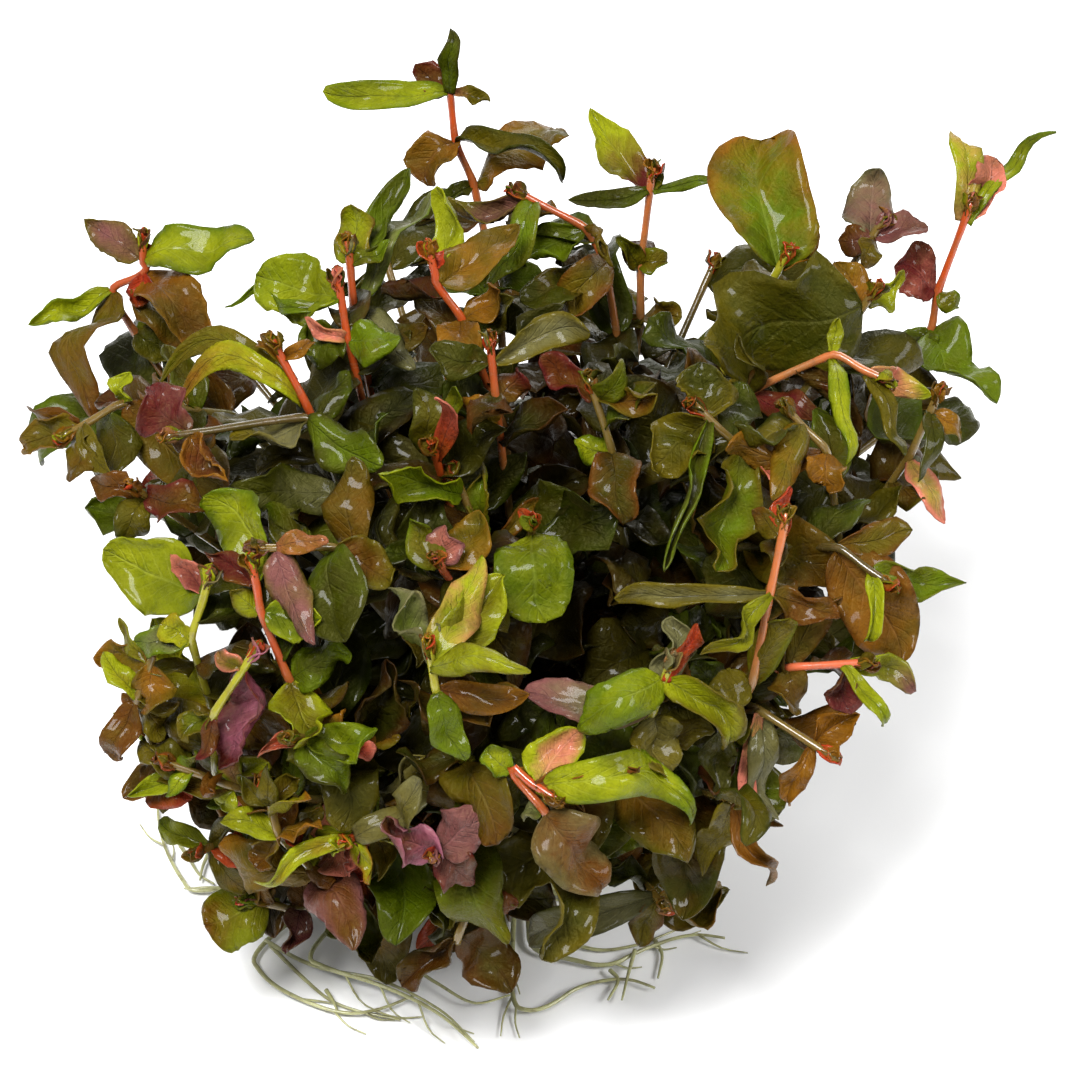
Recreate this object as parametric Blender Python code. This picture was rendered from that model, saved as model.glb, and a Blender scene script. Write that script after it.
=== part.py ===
"""Giant red rotala as it comes out of its growing cup: a knot of rooted shoots with crinkled opposite
leaves, standing on its own root mat. Metres, +Z up. The origin is the middle of the flat underside.

Every shoot is one solid, its stem and the leaves that grew from it. The shoots that the picture shows
are placed by where their joints and leaf tips are seen in it, as pixels of the 1080 by 1080 frame. The
picture looks down on the clump by 45 degrees, and how far each point stands out of the clump comes from
the round form of its canopy. Leaves lower on the stems, and the shoots behind, follow a rule."""

import itertools
import math
import random

import bmesh
import bpy
from mathutils import Vector
from mathutils.bvhtree import BVHTree
from mathutils.geometry import interpolate_bezier

MM = 0.001

# Real sizes that the rest follows from
CLUMP_WIDTH = 90 * MM
STEM_RADIUS = 0.55 * MM
JOINT_HEIGHT = 1.0 * MM
LEAF_HALF_THICKNESS = 0.22 * MM
GAP = 0.3 * MM
GROUND_GAP = 0.6 * MM
INTERNODE = 8.5 * MM
MAT_RADIUS = 16.5 * MM
MAT_HEIGHT = 3.6 * MM
STEM_SPACING = 3.6 * MM
ROOT_RADIUS = 0.32 * MM

# How the picture sees the clump. A pixel is PIXEL wide at the depth of the clump's origin.
CLUMP_WIDTH_PX = 1030
PICTURE_MIDDLE_PX = (540, 540)
ORIGIN_PX = (520, 775)
VIEW_ELEVATION = math.radians(45)
VIEW_DISTANCE = 450 * MM
MEAN_DEPTH = 25 * MM
PIXEL = CLUMP_WIDTH / CLUMP_WIDTH_PX * VIEW_DISTANCE / (VIEW_DISTANCE - MEAN_DEPTH)
RIGHT = Vector((1, 0, 0))
UP = Vector((0, math.sin(VIEW_ELEVATION), math.cos(VIEW_ELEVATION)))
TOWARD = Vector((0, -math.cos(VIEW_ELEVATION), math.sin(VIEW_ELEVATION)))
AIM = RIGHT * (PICTURE_MIDDLE_PX[0] - ORIGIN_PX[0]) + UP * (ORIGIN_PX[1] - PICTURE_MIDDLE_PX[1])
AIM *= PIXEL

# The canopy is a round form that the shoots' tips reach, sunk in the middle where they lean apart
CANOPY_MIDDLE = Vector((0, 0, 30 * MM))
CANOPY_RADII = Vector((46 * MM, 37 * MM, 29 * MM))
HOLLOW_PX = (520, 490)
HOLLOW_WIDTH_PX = 120
HOLLOW_DEPTH = 17 * MM
LOWEST_JOINT = 3.5 * MM

# How a leaf lies, in degrees: bend along it, how late that comes, curl across it, and twist
HABITS = {
    "flat": (22, 1.0, 14, 0),
    "arched": (85, 1.2, -24, 0),
    "cupped": (-48, 1.0, 56, 0),
    "hooked": (125, 2.6, 26, 0),
    "rolled": (24, 1.0, 135, 0),
    "twisted": (38, 1.2, 24, 100),
    "crumpled": (62, 1.6, 50, -50),
    "wavy": (34, 1.4, -30, 36),
}
LINE_STEPS = 16
# How much an upper face turns out from the middle of the clump, and up, for each part towards the viewer
FACE_OUT = 0.4
FACE_UP = 0.5
# Where along a blade its twist is none, and what makes it widest beyond its middle and round in outline
TWIST_FROM = 0.35
BLADE_LATE = 0.72
BLADE_ROUND = 0.62

# Leaves by rule: what they do, how long and wide they are, and which way they leave the stem
RULE_HABITS = ("cupped", "wavy", "arched", "cupped", "crumpled", "flat")
RULE_LENGTH = (8.5 * MM, 11.5 * MM)
RULE_WIDTH = 0.52
RULE_OUT = 0.86
RULE_ONWARD = 0.42
RULE_SAG = Vector((0, 0, -0.14))
RULE_SHORTER = (1.0, 0.8, 0.64)
RULE_TURNS = (0, 24, -24, 48, -48)
PAIR_TURN = 90
PAIR_UNEVEN = 40
SEED = 7
# Lower edge of the clump in the picture, which leaves by rule stay above
LOW_EDGE_PX = (
    (0, 470), (60, 500), (95, 670), (110, 760), (150, 830), (200, 900), (210, 958), (300, 965),
    (400, 990), (515, 998), (560, 955), (640, 950), (700, 935), (725, 895), (768, 885), (780, 820),
    (820, 765), (860, 745), (905, 725), (930, 680), (966, 590), (1000, 420), (1080, 400),
)
# Open places between the upper shoots in the picture, which leaves by rule stay out of: middle and radius
OPEN_PX = (
    (688, 257, 52), (340, 228, 44), (258, 395, 36), (270, 330, 36), (945, 540, 36), (972, 446, 28),
)
# Where a blade has its rings, from its base at 0 to its tip at 1
WIDE_RINGS = (0.16, 0.48, 0.84)
SMALL_RINGS = (0.28, 0.74)
FILLER_RINGS = (0.5,)
WIDE_LEAF_PX = 38

# A blade is looked at from just beyond its base, where its own stem is
BASE_SHARE = 0.05
OWN_GAP = 0.05 * MM
# Steepest that a leaf runs forward or back for its length across the picture
STEEPEST = 0.45
# Width in metres of a pixel at the canopy, against one at the origin
SEEN_SCALE = 1 - MEAN_DEPTH / VIEW_DISTANCE
# What a leaf tries in turn to find room: how far forward or back its tip goes, and its roll in degrees
DEPTH_SHIFTS = [step * MM for step in (0, 1.5, -1.5, 3, -3, 4.5, -4.5, 6.5, -6.5, 9, -9)]
ROLLS = (0, 25, -25, 50, -50)

# The four corners of a stem
QUARTERS = ((1, 1), (-1, 1), (-1, -1), (1, -1))
# Stems: how far a lower joint stands behind a higher one, where they lean from, and how they rise
DIP = 0.35
LEAN_FROM = Vector((0, 0, 10 * MM))
RUN_POINTS = 5
# How upright a stem comes to its first joint seen, over what share of its reach, and for how many
# internodes of reach it bears a second pair of leaves by rule
ARRIVE_UP = Vector((0, 0, 0.3))
ARRIVE_RUN = 0.35
LONG_REACH = 3 * INTERNODE
RISES = (0.4, 0.55, 0.28, 0.7, 0.18, 0.85)
LEANS = (0, 0.08, -0.08, 0.16, -0.16, 0.26, -0.26, 0.38, -0.38, 0.52, -0.52, 0.7, -0.7)
STEM_TAPER = 0.3
BUD_LENGTH = 1.6 * MM
FEET_RADIUS = 14.5 * MM
HEAD_PUSHES = [step * MM for step in (0, -1.5, 1.5, -3, 3, -5)]
FOOT_STEPS = ((0, 0), (0.5, 0), (-0.5, 0), (0, 0.5), (0, -0.5))
SPREAD_ROUNDS = 80
BACK_REACH = 0.87

# The mat and the loose roots
MAT_SIDES = 20
MAT_FOOT = 0.95
# Rings above the mat's flat foot: share of its radius, and of its height
MAT_PROFILE = ((1.0, 0.4), (0.99, 0.78), (0.92, 1.0))
# How often the mat's side swells on its way round, by how much of its radius, and from where
MAT_SWELLS = ((3, 0.05, 1), (7, 0.03, 0))
ROOT_FROM_MAT = 1.6 * MM
ROOT_TAPER = 0.4

# Colour of each kind of leaf, as seen on a wet blade
TONES = {
    "lime": (0.33, 0.42, 0.035),
    "green": (0.11, 0.26, 0.02),
    "moss": (0.045, 0.085, 0.012),
    "olive": (0.14, 0.135, 0.018),
    "amber": (0.30, 0.17, 0.02),
    "bronze": (0.17, 0.055, 0.012),
    "wine": (0.12, 0.018, 0.03),
    "mauve": (0.20, 0.10, 0.10),
    "pink": (0.50, 0.17, 0.13),
}
ROOT_TONE = (0.36, 0.37, 0.22)
MAT_TONE = (0.20, 0.18, 0.09)
WET_ROUGHNESS = 0.28


def leaf(tip, width, habit="flat", lift=0.0):
    """A leaf of the picture: its tip and width in pixels, how it lies, and how far forward, in mm."""
    return {"tip": tip, "width": width, "habit": habit, "lift": lift * MM}


def joint(place, *leaves):
    """A joint of a stem, where the picture shows it, and the leaves that grow there."""
    return {"place": place, "leaves": leaves}


def shoot(tone, *joints, lift=0.0):
    """A shoot of the picture, from its lowest joint seen to its tip, and how far forward, in mm."""
    return {"tone": tone, "joints": joints, "lift": lift * MM}


SHOOTS = {
    "shoot_top": shoot(
        "olive",
        joint((474, 186), leaf((569, 136), 36, "wavy"), leaf((438, 196), 22)),
        joint((456, 142), leaf((562, 183), 40, "hooked"), leaf((428, 186), 26, "crumpled")),
        joint((450, 92), leaf((323, 92), 30, "wavy"), leaf((490, 102), 20, "cupped"),
              leaf((415, 64), 32, "cupped"), leaf((450, 29), 20, "wavy")),
    ),
    "shoot_arc": shoot(
        "olive",
        joint((604, 262), leaf((520, 302), 44, "cupped"), leaf((560, 332), 40, "crumpled")),
        joint((584, 228), leaf((520, 257), 40, "cupped"), leaf((614, 268), 30, "rolled")),
        joint((534, 201), leaf((445, 200), 40, "cupped"), leaf((484, 288), 26, "wavy")),
    ),
    "shoot_red_bud": shoot(
        "amber",
        joint((462, 320), leaf((445, 380), 42, "flat", 2), leaf((500, 290), 30, "cupped")),
        joint((438, 285), leaf((437, 186), 35, "cupped"), leaf((520, 225), 45, "wavy")),
        joint((434, 270), leaf((444, 250), 18, "cupped", 1)),
    ),
    "shoot_spoon": shoot(
        "green",
        joint((354, 306), leaf((415, 370), 36, "arched"), leaf((437, 190), 24, "wavy")),
        joint((350, 264), leaf((410, 168), 46, "cupped"), leaf((351, 204), 36, "cupped"),
              leaf((391, 240), 18)),
    ),
    "shoot_round_leaf": shoot(
        "green",
        joint((348, 340), leaf((300, 352), 44, "cupped"), leaf((400, 338), 42, "wavy"),
              leaf((305, 318), 18)),
        joint((341, 298), leaf((256, 275), 55, "cupped"), leaf((225, 307), 14, "twisted")),
    ),
    "shoot_curled_tip": shoot(
        "lime",
        joint((305, 402), leaf((180, 400), 26, "arched"), leaf((160, 384), 30, "wavy")),
        joint((283, 360), leaf((260, 345), 13, "hooked"), leaf((312, 344), 15, "hooked")),
    ),
    "shoot_far_left": shoot(
        "bronze",
        joint((136, 334), leaf((175, 362), 28), leaf((170, 318), 30, "cupped")),
        joint((114, 292), leaf((95, 422), 48, "wavy"), leaf((28, 325), 36, "cupped"),
              leaf((55, 410), 32, "wavy")),
        joint((143, 272), leaf((137, 308), 32, "cupped"), leaf((217, 357), 46, "crumpled")),
        joint((143, 258), leaf((84, 219), 38, "cupped"), leaf((255, 240), 52, "flat"),
              leaf((146, 234), 20, "cupped")),
    ),
    "shoot_left_edge": shoot(
        "olive",
        joint((124, 404), leaf((230, 488), 50, "cupped"), leaf((131, 372), 18, "rolled")),
        joint((82, 426), leaf((25, 447), 40, "crumpled"), leaf((27, 406), 26, "wavy"),
              leaf((70, 482), 30, "cupped"), leaf((112, 474), 22)),
    ),
    "shoot_wine_pair": shoot(
        "wine",
        joint((345, 494), leaf((221, 500), 44, "flat")),
        joint((308, 420), leaf((230, 440), 40, "cupped"), leaf((382, 466), 42, "wavy")),
        joint((190, 434), leaf((228, 482), 48, "cupped"), leaf((146, 388), 40, "cupped")),
    ),
    "shoot_left_dark": shoot(
        "bronze",
        joint((146, 496), leaf((90, 480), 34, "cupped"), leaf((204, 512), 36, "wavy"),
              leaf((122, 542), 30, "wavy")),
    ),
    "shoot_left_front": shoot(
        "lime",
        joint((290, 680), leaf((312, 737), 40, "cupped"), leaf((352, 655), 40, "wavy")),
        joint((262, 614), leaf((230, 590), 22, "cupped"), leaf((322, 618), 40, "cupped")),
        joint((256, 584), leaf((205, 552), 24, "cupped"), leaf((203, 496), 48, "cupped")),
    ),
    "shoot_lime_wing": shoot(
        "lime",
        joint((192, 640), leaf((134, 640), 28), leaf((160, 624), 26)),
        joint((204, 596), leaf((103, 549), 58, "cupped"), leaf((171, 555), 22, "cupped")),
    ),
    "shoot_mauve_rim": shoot(
        "mauve",
        joint((334, 548), leaf((346, 642), 62, "wavy"), leaf((392, 582), 42, "cupped")),
        joint((276, 548), leaf((328, 541), 20), leaf((314, 645), 40, "wavy")),
    ),
    "shoot_left_low": shoot(
        "amber",
        joint((138, 702), leaf((113, 760), 32, "crumpled"), leaf((164, 740), 28, "wavy")),
        joint((150, 664), leaf((93, 658), 32, "cupped"), leaf((142, 714), 34, "crumpled"),
              leaf((119, 618), 14)),
    ),
    "shoot_mauve_leaf": shoot(
        "mauve",
        joint((214, 716), leaf((180, 738), 32, "cupped"), leaf((196, 760), 18)),
        joint((244, 668), leaf((219, 770), 64, "cupped"), leaf((218, 652), 20)),
    ),
    "shoot_low_lime": shoot(
        "olive",
        joint((236, 786), leaf((220, 806), 26), leaf((228, 756), 20, "cupped"),
              leaf((154, 790), 20, "crumpled")),
        joint((186, 768), leaf((140, 742), 36, "wavy"), leaf((127, 796), 24, "cupped")),
    ),
    "shoot_loops": shoot(
        "green",
        joint((212, 846), leaf((160, 820), 24, "cupped"), leaf((256, 812), 24, "hooked"),
              leaf((250, 882), 24, "hooked")),
    ),
    "shoot_bud_cluster": shoot(
        "olive",
        joint((280, 836), leaf((256, 868), 34, "cupped"), leaf((304, 852), 28)),
        joint((270, 804), leaf((240, 774), 24, "cupped"), leaf((300, 778), 24, "cupped"),
              leaf((268, 764), 20)),
    ),
    "shoot_trilobe": shoot(
        "green",
        joint((302, 738), leaf((378, 730), 38, "cupped"), leaf((346, 792), 40, "wavy"),
              leaf((312, 772), 22)),
    ),
    "shoot_spoon_low": shoot(
        "pink",
        joint((352, 838), leaf((254, 881), 18, "twisted", 2), leaf((350, 876), 22, "cupped"),
              leaf((420, 778), 30, "wavy", 2), leaf((312, 850), 26, "rolled")),
    ),
    "shoot_purple_knot": shoot(
        "wine",
        joint((438, 852), leaf((386, 816), 50, "crumpled"), leaf((494, 818), 48, "crumpled"),
              leaf((474, 882), 40, "wavy")),
    ),
    "shoot_corner_leaf": shoot(
        "lime",
        joint((338, 884), leaf((372, 964), 48, "cupped"), leaf((352, 918), 40, "cupped")),
        joint((300, 908), leaf((286, 954), 32), leaf((300, 878), 28, "cupped")),
        joint((268, 904), leaf((205, 926), 58, "flat"), leaf((246, 884), 24)),
    ),
    "shoot_rolled_pair": shoot(
        "green",
        joint((488, 552), leaf((479, 460), 32, "rolled"), leaf((540, 498), 16, "cupped")),
        joint((462, 492), leaf((378, 474), 32, "rolled", 6)),
    ),
    "shoot_middle_bud": shoot(
        "olive",
        joint((436, 458), leaf((416, 388), 36, "cupped"), leaf((456, 386), 26, "cupped"),
              leaf((436, 398), 20, "cupped", 2)),
    ),
    "shoot_round_green": shoot(
        "green",
        joint((532, 532), leaf((546, 622), 74, "arched"), leaf((519, 510), 14)),
        lift=3,
    ),
    "shoot_pink_bud": shoot(
        "pink",
        joint((442, 568), leaf((446, 526), 34, "cupped", 2), leaf((480, 510), 40, "cupped"),
              leaf((410, 518), 30, "wavy")),
    ),
    "shoot_star": shoot(
        "lime",
        joint((436, 690), leaf((530, 694), 28, "cupped"), leaf((466, 760), 32, "arched")),
        joint((432, 666), leaf((482, 556), 38, "wavy"), leaf((505, 575), 52, "cupped"),
              leaf((388, 588), 44, "cupped"), leaf((531, 672), 30, "arched")),
        lift=1,
    ),
    "shoot_right_star": shoot(
        "lime",
        joint((652, 714), leaf((668, 774), 48, "wavy"), leaf((524, 692), 40, "cupped", -3)),
        joint((664, 680), leaf((578, 729), 46, "arched"), leaf((722, 746), 46, "hooked"),
              leaf((672, 616), 34, "cupped"), leaf((698, 624), 16, "cupped")),
    ),
    "shoot_pink_tip": shoot(
        "pink",
        joint((545, 812), leaf((602, 888), 58, "wavy"), leaf((525, 812), 34, "wavy")),
        joint((514, 772), leaf((486, 748), 26, "crumpled"), leaf((585, 812), 26)),
        joint((536, 786), leaf((582, 730), 46, "cupped"), leaf((690, 824), 42, "arched", 2),
              leaf((640, 768), 24, "cupped")),
        lift=2,
    ),
    "shoot_spoon_high": shoot(
        "lime",
        joint((640, 318), leaf((584, 300), 26, "cupped"), leaf((682, 318), 40, "crumpled"),
              leaf((612, 342), 28)),
        joint((641, 266), leaf((616, 238), 24, "hooked"), leaf((666, 264), 24, "hooked")),
        joint((650, 190), leaf((590, 108), 44, "cupped"), leaf((568, 200), 22, "cupped"),
              leaf((661, 160), 13), leaf((736, 175), 12, "wavy")),
    ),
    "shoot_tall_leaf": shoot(
        "lime",
        joint((778, 270), leaf((762, 142), 94, "wavy"), leaf((814, 220), 28, "cupped")),
    ),
    "shoot_big_leaf": shoot(
        "moss",
        joint((864, 306), leaf((704, 345), 104, "cupped"), leaf((834, 262), 34, "cupped"),
              leaf((904, 270), 26, "cupped")),
    ),
    "shoot_mauve_top": shoot(
        "mauve",
        joint((872, 236), leaf((880, 168), 48, "cupped"), leaf((838, 240), 30, "cupped"),
              leaf((928, 228), 28, "wavy"), leaf((862, 266), 30, "cupped")),
    ),
    "shoot_right_tip": shoot(
        "pink",
        joint((930, 330), leaf((996, 404), 58, "wavy"), leaf((918, 354), 32)),
        joint((938, 292), leaf((894, 266), 50, "cupped"), leaf((958, 308), 24)),
        joint((964, 222), leaf((996, 158), 40, "cupped"), leaf((952, 134), 30, "hooked"),
              leaf((1056, 132), 14, "wavy")),
    ),
    "shoot_right_bud": shoot(
        "olive",
        joint((750, 392), leaf((836, 426), 34, "cupped"), leaf((716, 400), 30)),
        joint((832, 356), leaf((846, 464), 20, "wavy"), leaf((838, 318), 16)),
        joint((868, 372), leaf((932, 396), 34, "cupped"), leaf((905, 456), 18, "wavy")),
    ),
    "shoot_right_side": shoot(
        "olive",
        joint((908, 458), leaf((944, 524), 30, "wavy"), leaf((938, 488), 26, "cupped")),
        joint((930, 412), leaf((918, 482), 20, "wavy"), leaf((960, 442), 24, "wavy")),
    ),
    "shoot_right_inner": shoot(
        "bronze",
        joint((826, 452), leaf((725, 450), 32, "wavy"), leaf((830, 494), 36, "crumpled")),
        joint((800, 424), leaf((732, 424), 50, "cupped"), leaf((772, 500), 36, "wavy")),
    ),
    "shoot_rolled_dark": shoot(
        "green",
        joint((742, 452), leaf((716, 572), 56, "flat"), leaf((790, 486), 24, "cupped")),
        joint((710, 420), leaf((664, 572), 24, "rolled", 3), leaf((652, 470), 62, "cupped"),
              leaf((700, 362), 50, "cupped")),
        lift=-2,
    ),
    "shoot_middle_right": shoot(
        "moss",
        joint((612, 452), leaf((622, 524), 48, "wavy"), leaf((574, 440), 24, "cupped")),
        joint((596, 400), leaf((658, 394), 32, "cupped"), leaf((622, 360), 28, "hooked"),
              leaf((540, 356), 36, "cupped")),
    ),
    "shoot_middle_top": shoot(
        "olive",
        joint((496, 400), leaf((520, 372), 30, "cupped"), leaf((470, 430), 34, "wavy")),
        joint((492, 362), leaf((590, 332), 36, "cupped"), leaf((428, 350), 34, "cupped")),
    ),
    "shoot_orange_stem": shoot(
        "olive",
        joint((752, 682), leaf((790, 618), 32, "cupped"), leaf((708, 690), 36, "wavy")),
        joint((770, 594), leaf((614, 598), 24, "cupped"), leaf((700, 655), 26, "cupped", 2),
              leaf((840, 618), 30, "cupped")),
        joint((782, 536), leaf((790, 486), 22, "cupped"), leaf((752, 510), 24)),
        lift=2,
    ),
    "shoot_orange_leaf": shoot(
        "amber",
        joint((836, 548), leaf((902, 664), 72, "wavy"), leaf((912, 530), 32, "cupped")),
        joint((872, 572), leaf((966, 583), 34, "cupped"), leaf((866, 640), 20, "hooked")),
    ),
    "shoot_right_low_tip": shoot(
        "wine",
        joint((790, 668), leaf((796, 716), 30, "wavy"), leaf((842, 596), 28, "cupped")),
        joint((846, 664), leaf((850, 714), 44, "cupped"), leaf((916, 690), 28, "cupped"),
              leaf((882, 726), 16, "hooked")),
    ),
    "shoot_right_low": shoot(
        "amber",
        joint((762, 712), leaf((778, 820), 26, "wavy"), leaf((754, 822), 18)),
        joint((812, 744), leaf((860, 714), 38, "cupped"), leaf((790, 802), 24, "crumpled")),
    ),
    "shoot_low_right": shoot(
        "olive",
        joint((732, 800), leaf((702, 876), 36, "cupped"), leaf((766, 886), 24, "twisted"),
              leaf((746, 846), 34, "wavy")),
    ),
    "shoot_bottom_right": shoot(
        "olive",
        joint((656, 896), leaf((722, 888), 38, "cupped"), leaf((530, 938), 36, "wavy"),
              leaf((640, 946), 26), leaf((588, 952), 28)),
    ),
    "shoot_bottom": shoot(
        "bronze",
        joint((458, 938), leaf((402, 986), 40, "cupped"), leaf((512, 992), 42, "cupped")),
        joint((472, 902), leaf((428, 914), 40, "cupped"), leaf((518, 904), 24, "wavy")),
    ),
}
# Shoots behind, out of the picture: the way each one leans, in degrees from +X, and how steeply
BACK_SHOOTS = ((28, 4), (48, -8), (64, 14), (86, -6), (108, 14), (128, -8), (150, 4))
BACK_TONES = ("olive", "green", "bronze", "olive", "lime", "moss", "amber")

# Loose roots round the foot: how high each lies over the ground in mm, and where it is seen
LOOSE_ROOTS = {
    "root_left_front": (0.7, (247, 950), (265, 980), (300, 1000), (345, 1015), (380, 1010), (415, 995)),
    "root_long": (1.9, (300, 955), (330, 970), (380, 984), (440, 1012), (478, 1048)),
    "root_right_front": (0.7, (510, 1004), (530, 1012), (552, 1005), (580, 985), (625, 977), (655, 988)),
    "root_right": (0.7, (530, 950), (565, 958), (608, 968), (640, 950), (690, 933), (725, 938)),
    "root_left_side": (0.7, (198, 900), (175, 870), (160, 835), (157, 800)),
}


def picture_point(pixel, depth):
    """The point that a pixel shows, this far towards the viewer from the clump's origin."""
    size = PIXEL * (VIEW_DISTANCE - depth) / VIEW_DISTANCE
    across = pixel[0] - PICTURE_MIDDLE_PX[0]
    above = PICTURE_MIDDLE_PX[1] - pixel[1]
    return AIM + (RIGHT * across + UP * above) * size + TOWARD * depth


def seen_within(point):
    """Whether a point is seen above the clump's lower edge and out of its open places."""
    depth = point.dot(TOWARD)
    seen = (point - AIM) / (PIXEL * (VIEW_DISTANCE - depth) / VIEW_DISTANCE)
    across = PICTURE_MIDDLE_PX[0] + seen.dot(RIGHT)
    down = PICTURE_MIDDLE_PX[1] - seen.dot(UP)
    if any(math.dist((across, down), place) < radius for *place, radius in OPEN_PX):
        return False
    for (left, left_down), (right, right_down) in zip(LOW_EDGE_PX, LOW_EDGE_PX[1:]):
        if left <= across <= right:
            return down < left_down + (right_down - left_down) * (across - left) / (right - left)
    return False


def canopy_depth(pixel):
    """How far forward the line of sight of a pixel meets the canopy, or comes nearest to it."""
    middle_depth = CANOPY_MIDDLE.dot(TOWARD)
    start = picture_point(pixel, middle_depth) - CANOPY_MIDDLE
    start = Vector(a / b for a, b in zip(start, CANOPY_RADII))
    way = Vector(a / b for a, b in zip(TOWARD, CANOPY_RADII))
    half = start.dot(way)
    inside = half * half - way.dot(way) * (start.dot(start) - 1)
    depth = middle_depth + (math.sqrt(max(inside, 0)) - half) / way.dot(way)
    away = math.dist(pixel, HOLLOW_PX) / HOLLOW_WIDTH_PX
    depth -= HOLLOW_DEPTH * math.exp(-away * away)
    low = LOWEST_JOINT - picture_point(pixel, depth).z
    return depth + max(low, 0) / TOWARD.z


class Blade:
    """The form of one leaf, from its base on the stem to its tip."""

    def __init__(self, base, tip, width, habit, roll=0.0):
        bend, late, curl, twist = HABITS[habit]
        headings = [
            math.radians(bend) * (0.5 - ((step + 0.5) / LINE_STEPS) ** late)
            for step in range(LINE_STEPS)
        ]
        line = [0j]
        for heading in headings:
            line.append(line[-1] + complex(math.cos(heading), math.sin(heading)))
        self.line = [point / line[-1] for point in line]
        self.base = base
        self.chord = tip - base
        facing = TOWARD + Vector((base.x, base.y, 0)).normalized() * FACE_OUT + Vector((0, 0, FACE_UP))
        along = self.chord.normalized()
        face = (facing - along * facing.dot(along)).normalized()
        side = along.cross(face)
        self.face = face * math.cos(roll) + side * math.sin(roll)
        self.side = None
        self.shares = ()
        self.curl = math.radians(curl)
        self.twist = math.radians(twist)
        opening = math.sin(self.curl / 2) / (self.curl / 2)
        self.half_width = width / 2 / opening

    def frame(self, share):
        """Middle point of the blade, and the ways along, across and out of its upper face."""
        place = share * LINE_STEPS
        step = min(int(place), LINE_STEPS - 1)
        run = self.line[step + 1] - self.line[step]
        spot = self.line[step] + run * (place - step)
        length = self.chord.length
        along = self.chord / length
        middle = self.base + (along * spot.real + self.face * spot.imag) * length
        way = (along * run.real + self.face * run.imag).normalized()
        out = (self.face * run.real - along * run.imag).normalized()
        turn = self.twist * (share - TWIST_FROM)
        side = way.cross(out)
        across = side * math.cos(turn) + out * math.sin(turn)
        return middle, way, across, out * math.cos(turn) - side * math.sin(turn)

    def ring(self, share, thickness=LEAF_HALF_THICKNESS, spare=0.0):
        """Four corners round the blade: one margin, upper face, other margin, underside."""
        middle, _, side, out = self.frame(share)
        half = self.half_width * math.sin(math.pi * share ** BLADE_LATE) ** BLADE_ROUND + spare
        angle = self.curl / 2
        radius = half / angle
        across = side * radius * math.sin(angle)
        rise = out * radius * (1 - math.cos(angle))
        return (
            middle - across + rise,
            middle + out * (thickness + spare),
            middle + across + rise,
            middle - out * (thickness + spare),
        )


def square(middle, way, side, radius):
    """Four corners of a stem, with one flat face towards side."""
    side = (side - way * side.dot(way)).normalized()
    other = way.cross(side)
    return [middle + (side * a + other * b) * radius * math.sqrt(0.5) for a, b in QUARTERS]


def tube_faces(rings, tip=None):
    """Corners and triangles of a tube through rings of four, for finding what it would touch."""
    corners = [corner for ring in rings for corner in ring]
    triangles = []
    for start in range(0, 4 * (len(rings) - 1), 4):
        for side in range(4):
            a, b = start + side, start + (side + 1) % 4
            triangles += [(a, b, a + 4), (b, b + 4, a + 4)]
    if tip is not None:
        last = len(corners) - 4
        corners.append(tip)
        triangles += [(last + side, last + (side + 1) % 4, last + 4) for side in range(4)]
    return corners, triangles


class Crowd:
    """What already stands in the clump, so that the next stem or leaf finds a free place."""

    def __init__(self):
        self.whole = []
        self.outer = []

    def box(self, corners):
        low = Vector(min(corner[axis] for corner in corners) for axis in range(3))
        high = Vector(max(corner[axis] for corner in corners) for axis in range(3))
        return low, high

    def entry(self, owner, shape):
        return owner, *self.box(shape[0]), BVHTree.FromPolygons(*shape)

    def add(self, owner, whole, outer=None):
        """Adds a shape that others keep off, and the part of it that its own shoot keeps off."""
        self.whole.append(self.entry(owner, whole))
        self.outer.append(self.entry(owner, outer or whole))

    def hits(self, shape, owner=None):
        """Whether a shape would touch what stands of any other owner."""
        return self.meets(shape, [thing for thing in self.whole if thing[0] != owner])

    def hits_own(self, shape, owner):
        return self.meets(shape, [thing for thing in self.outer if thing[0] == owner])

    def meets(self, shape, things):
        low, high = self.box(shape[0])
        tree = None
        for _, other_low, other_high, other in things:
            if any(low[axis] > other_high[axis] or high[axis] < other_low[axis] for axis in range(3)):
                continue
            tree = tree or BVHTree.FromPolygons(*shape)
            if tree.overlap(other):
                return True
        return False


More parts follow.
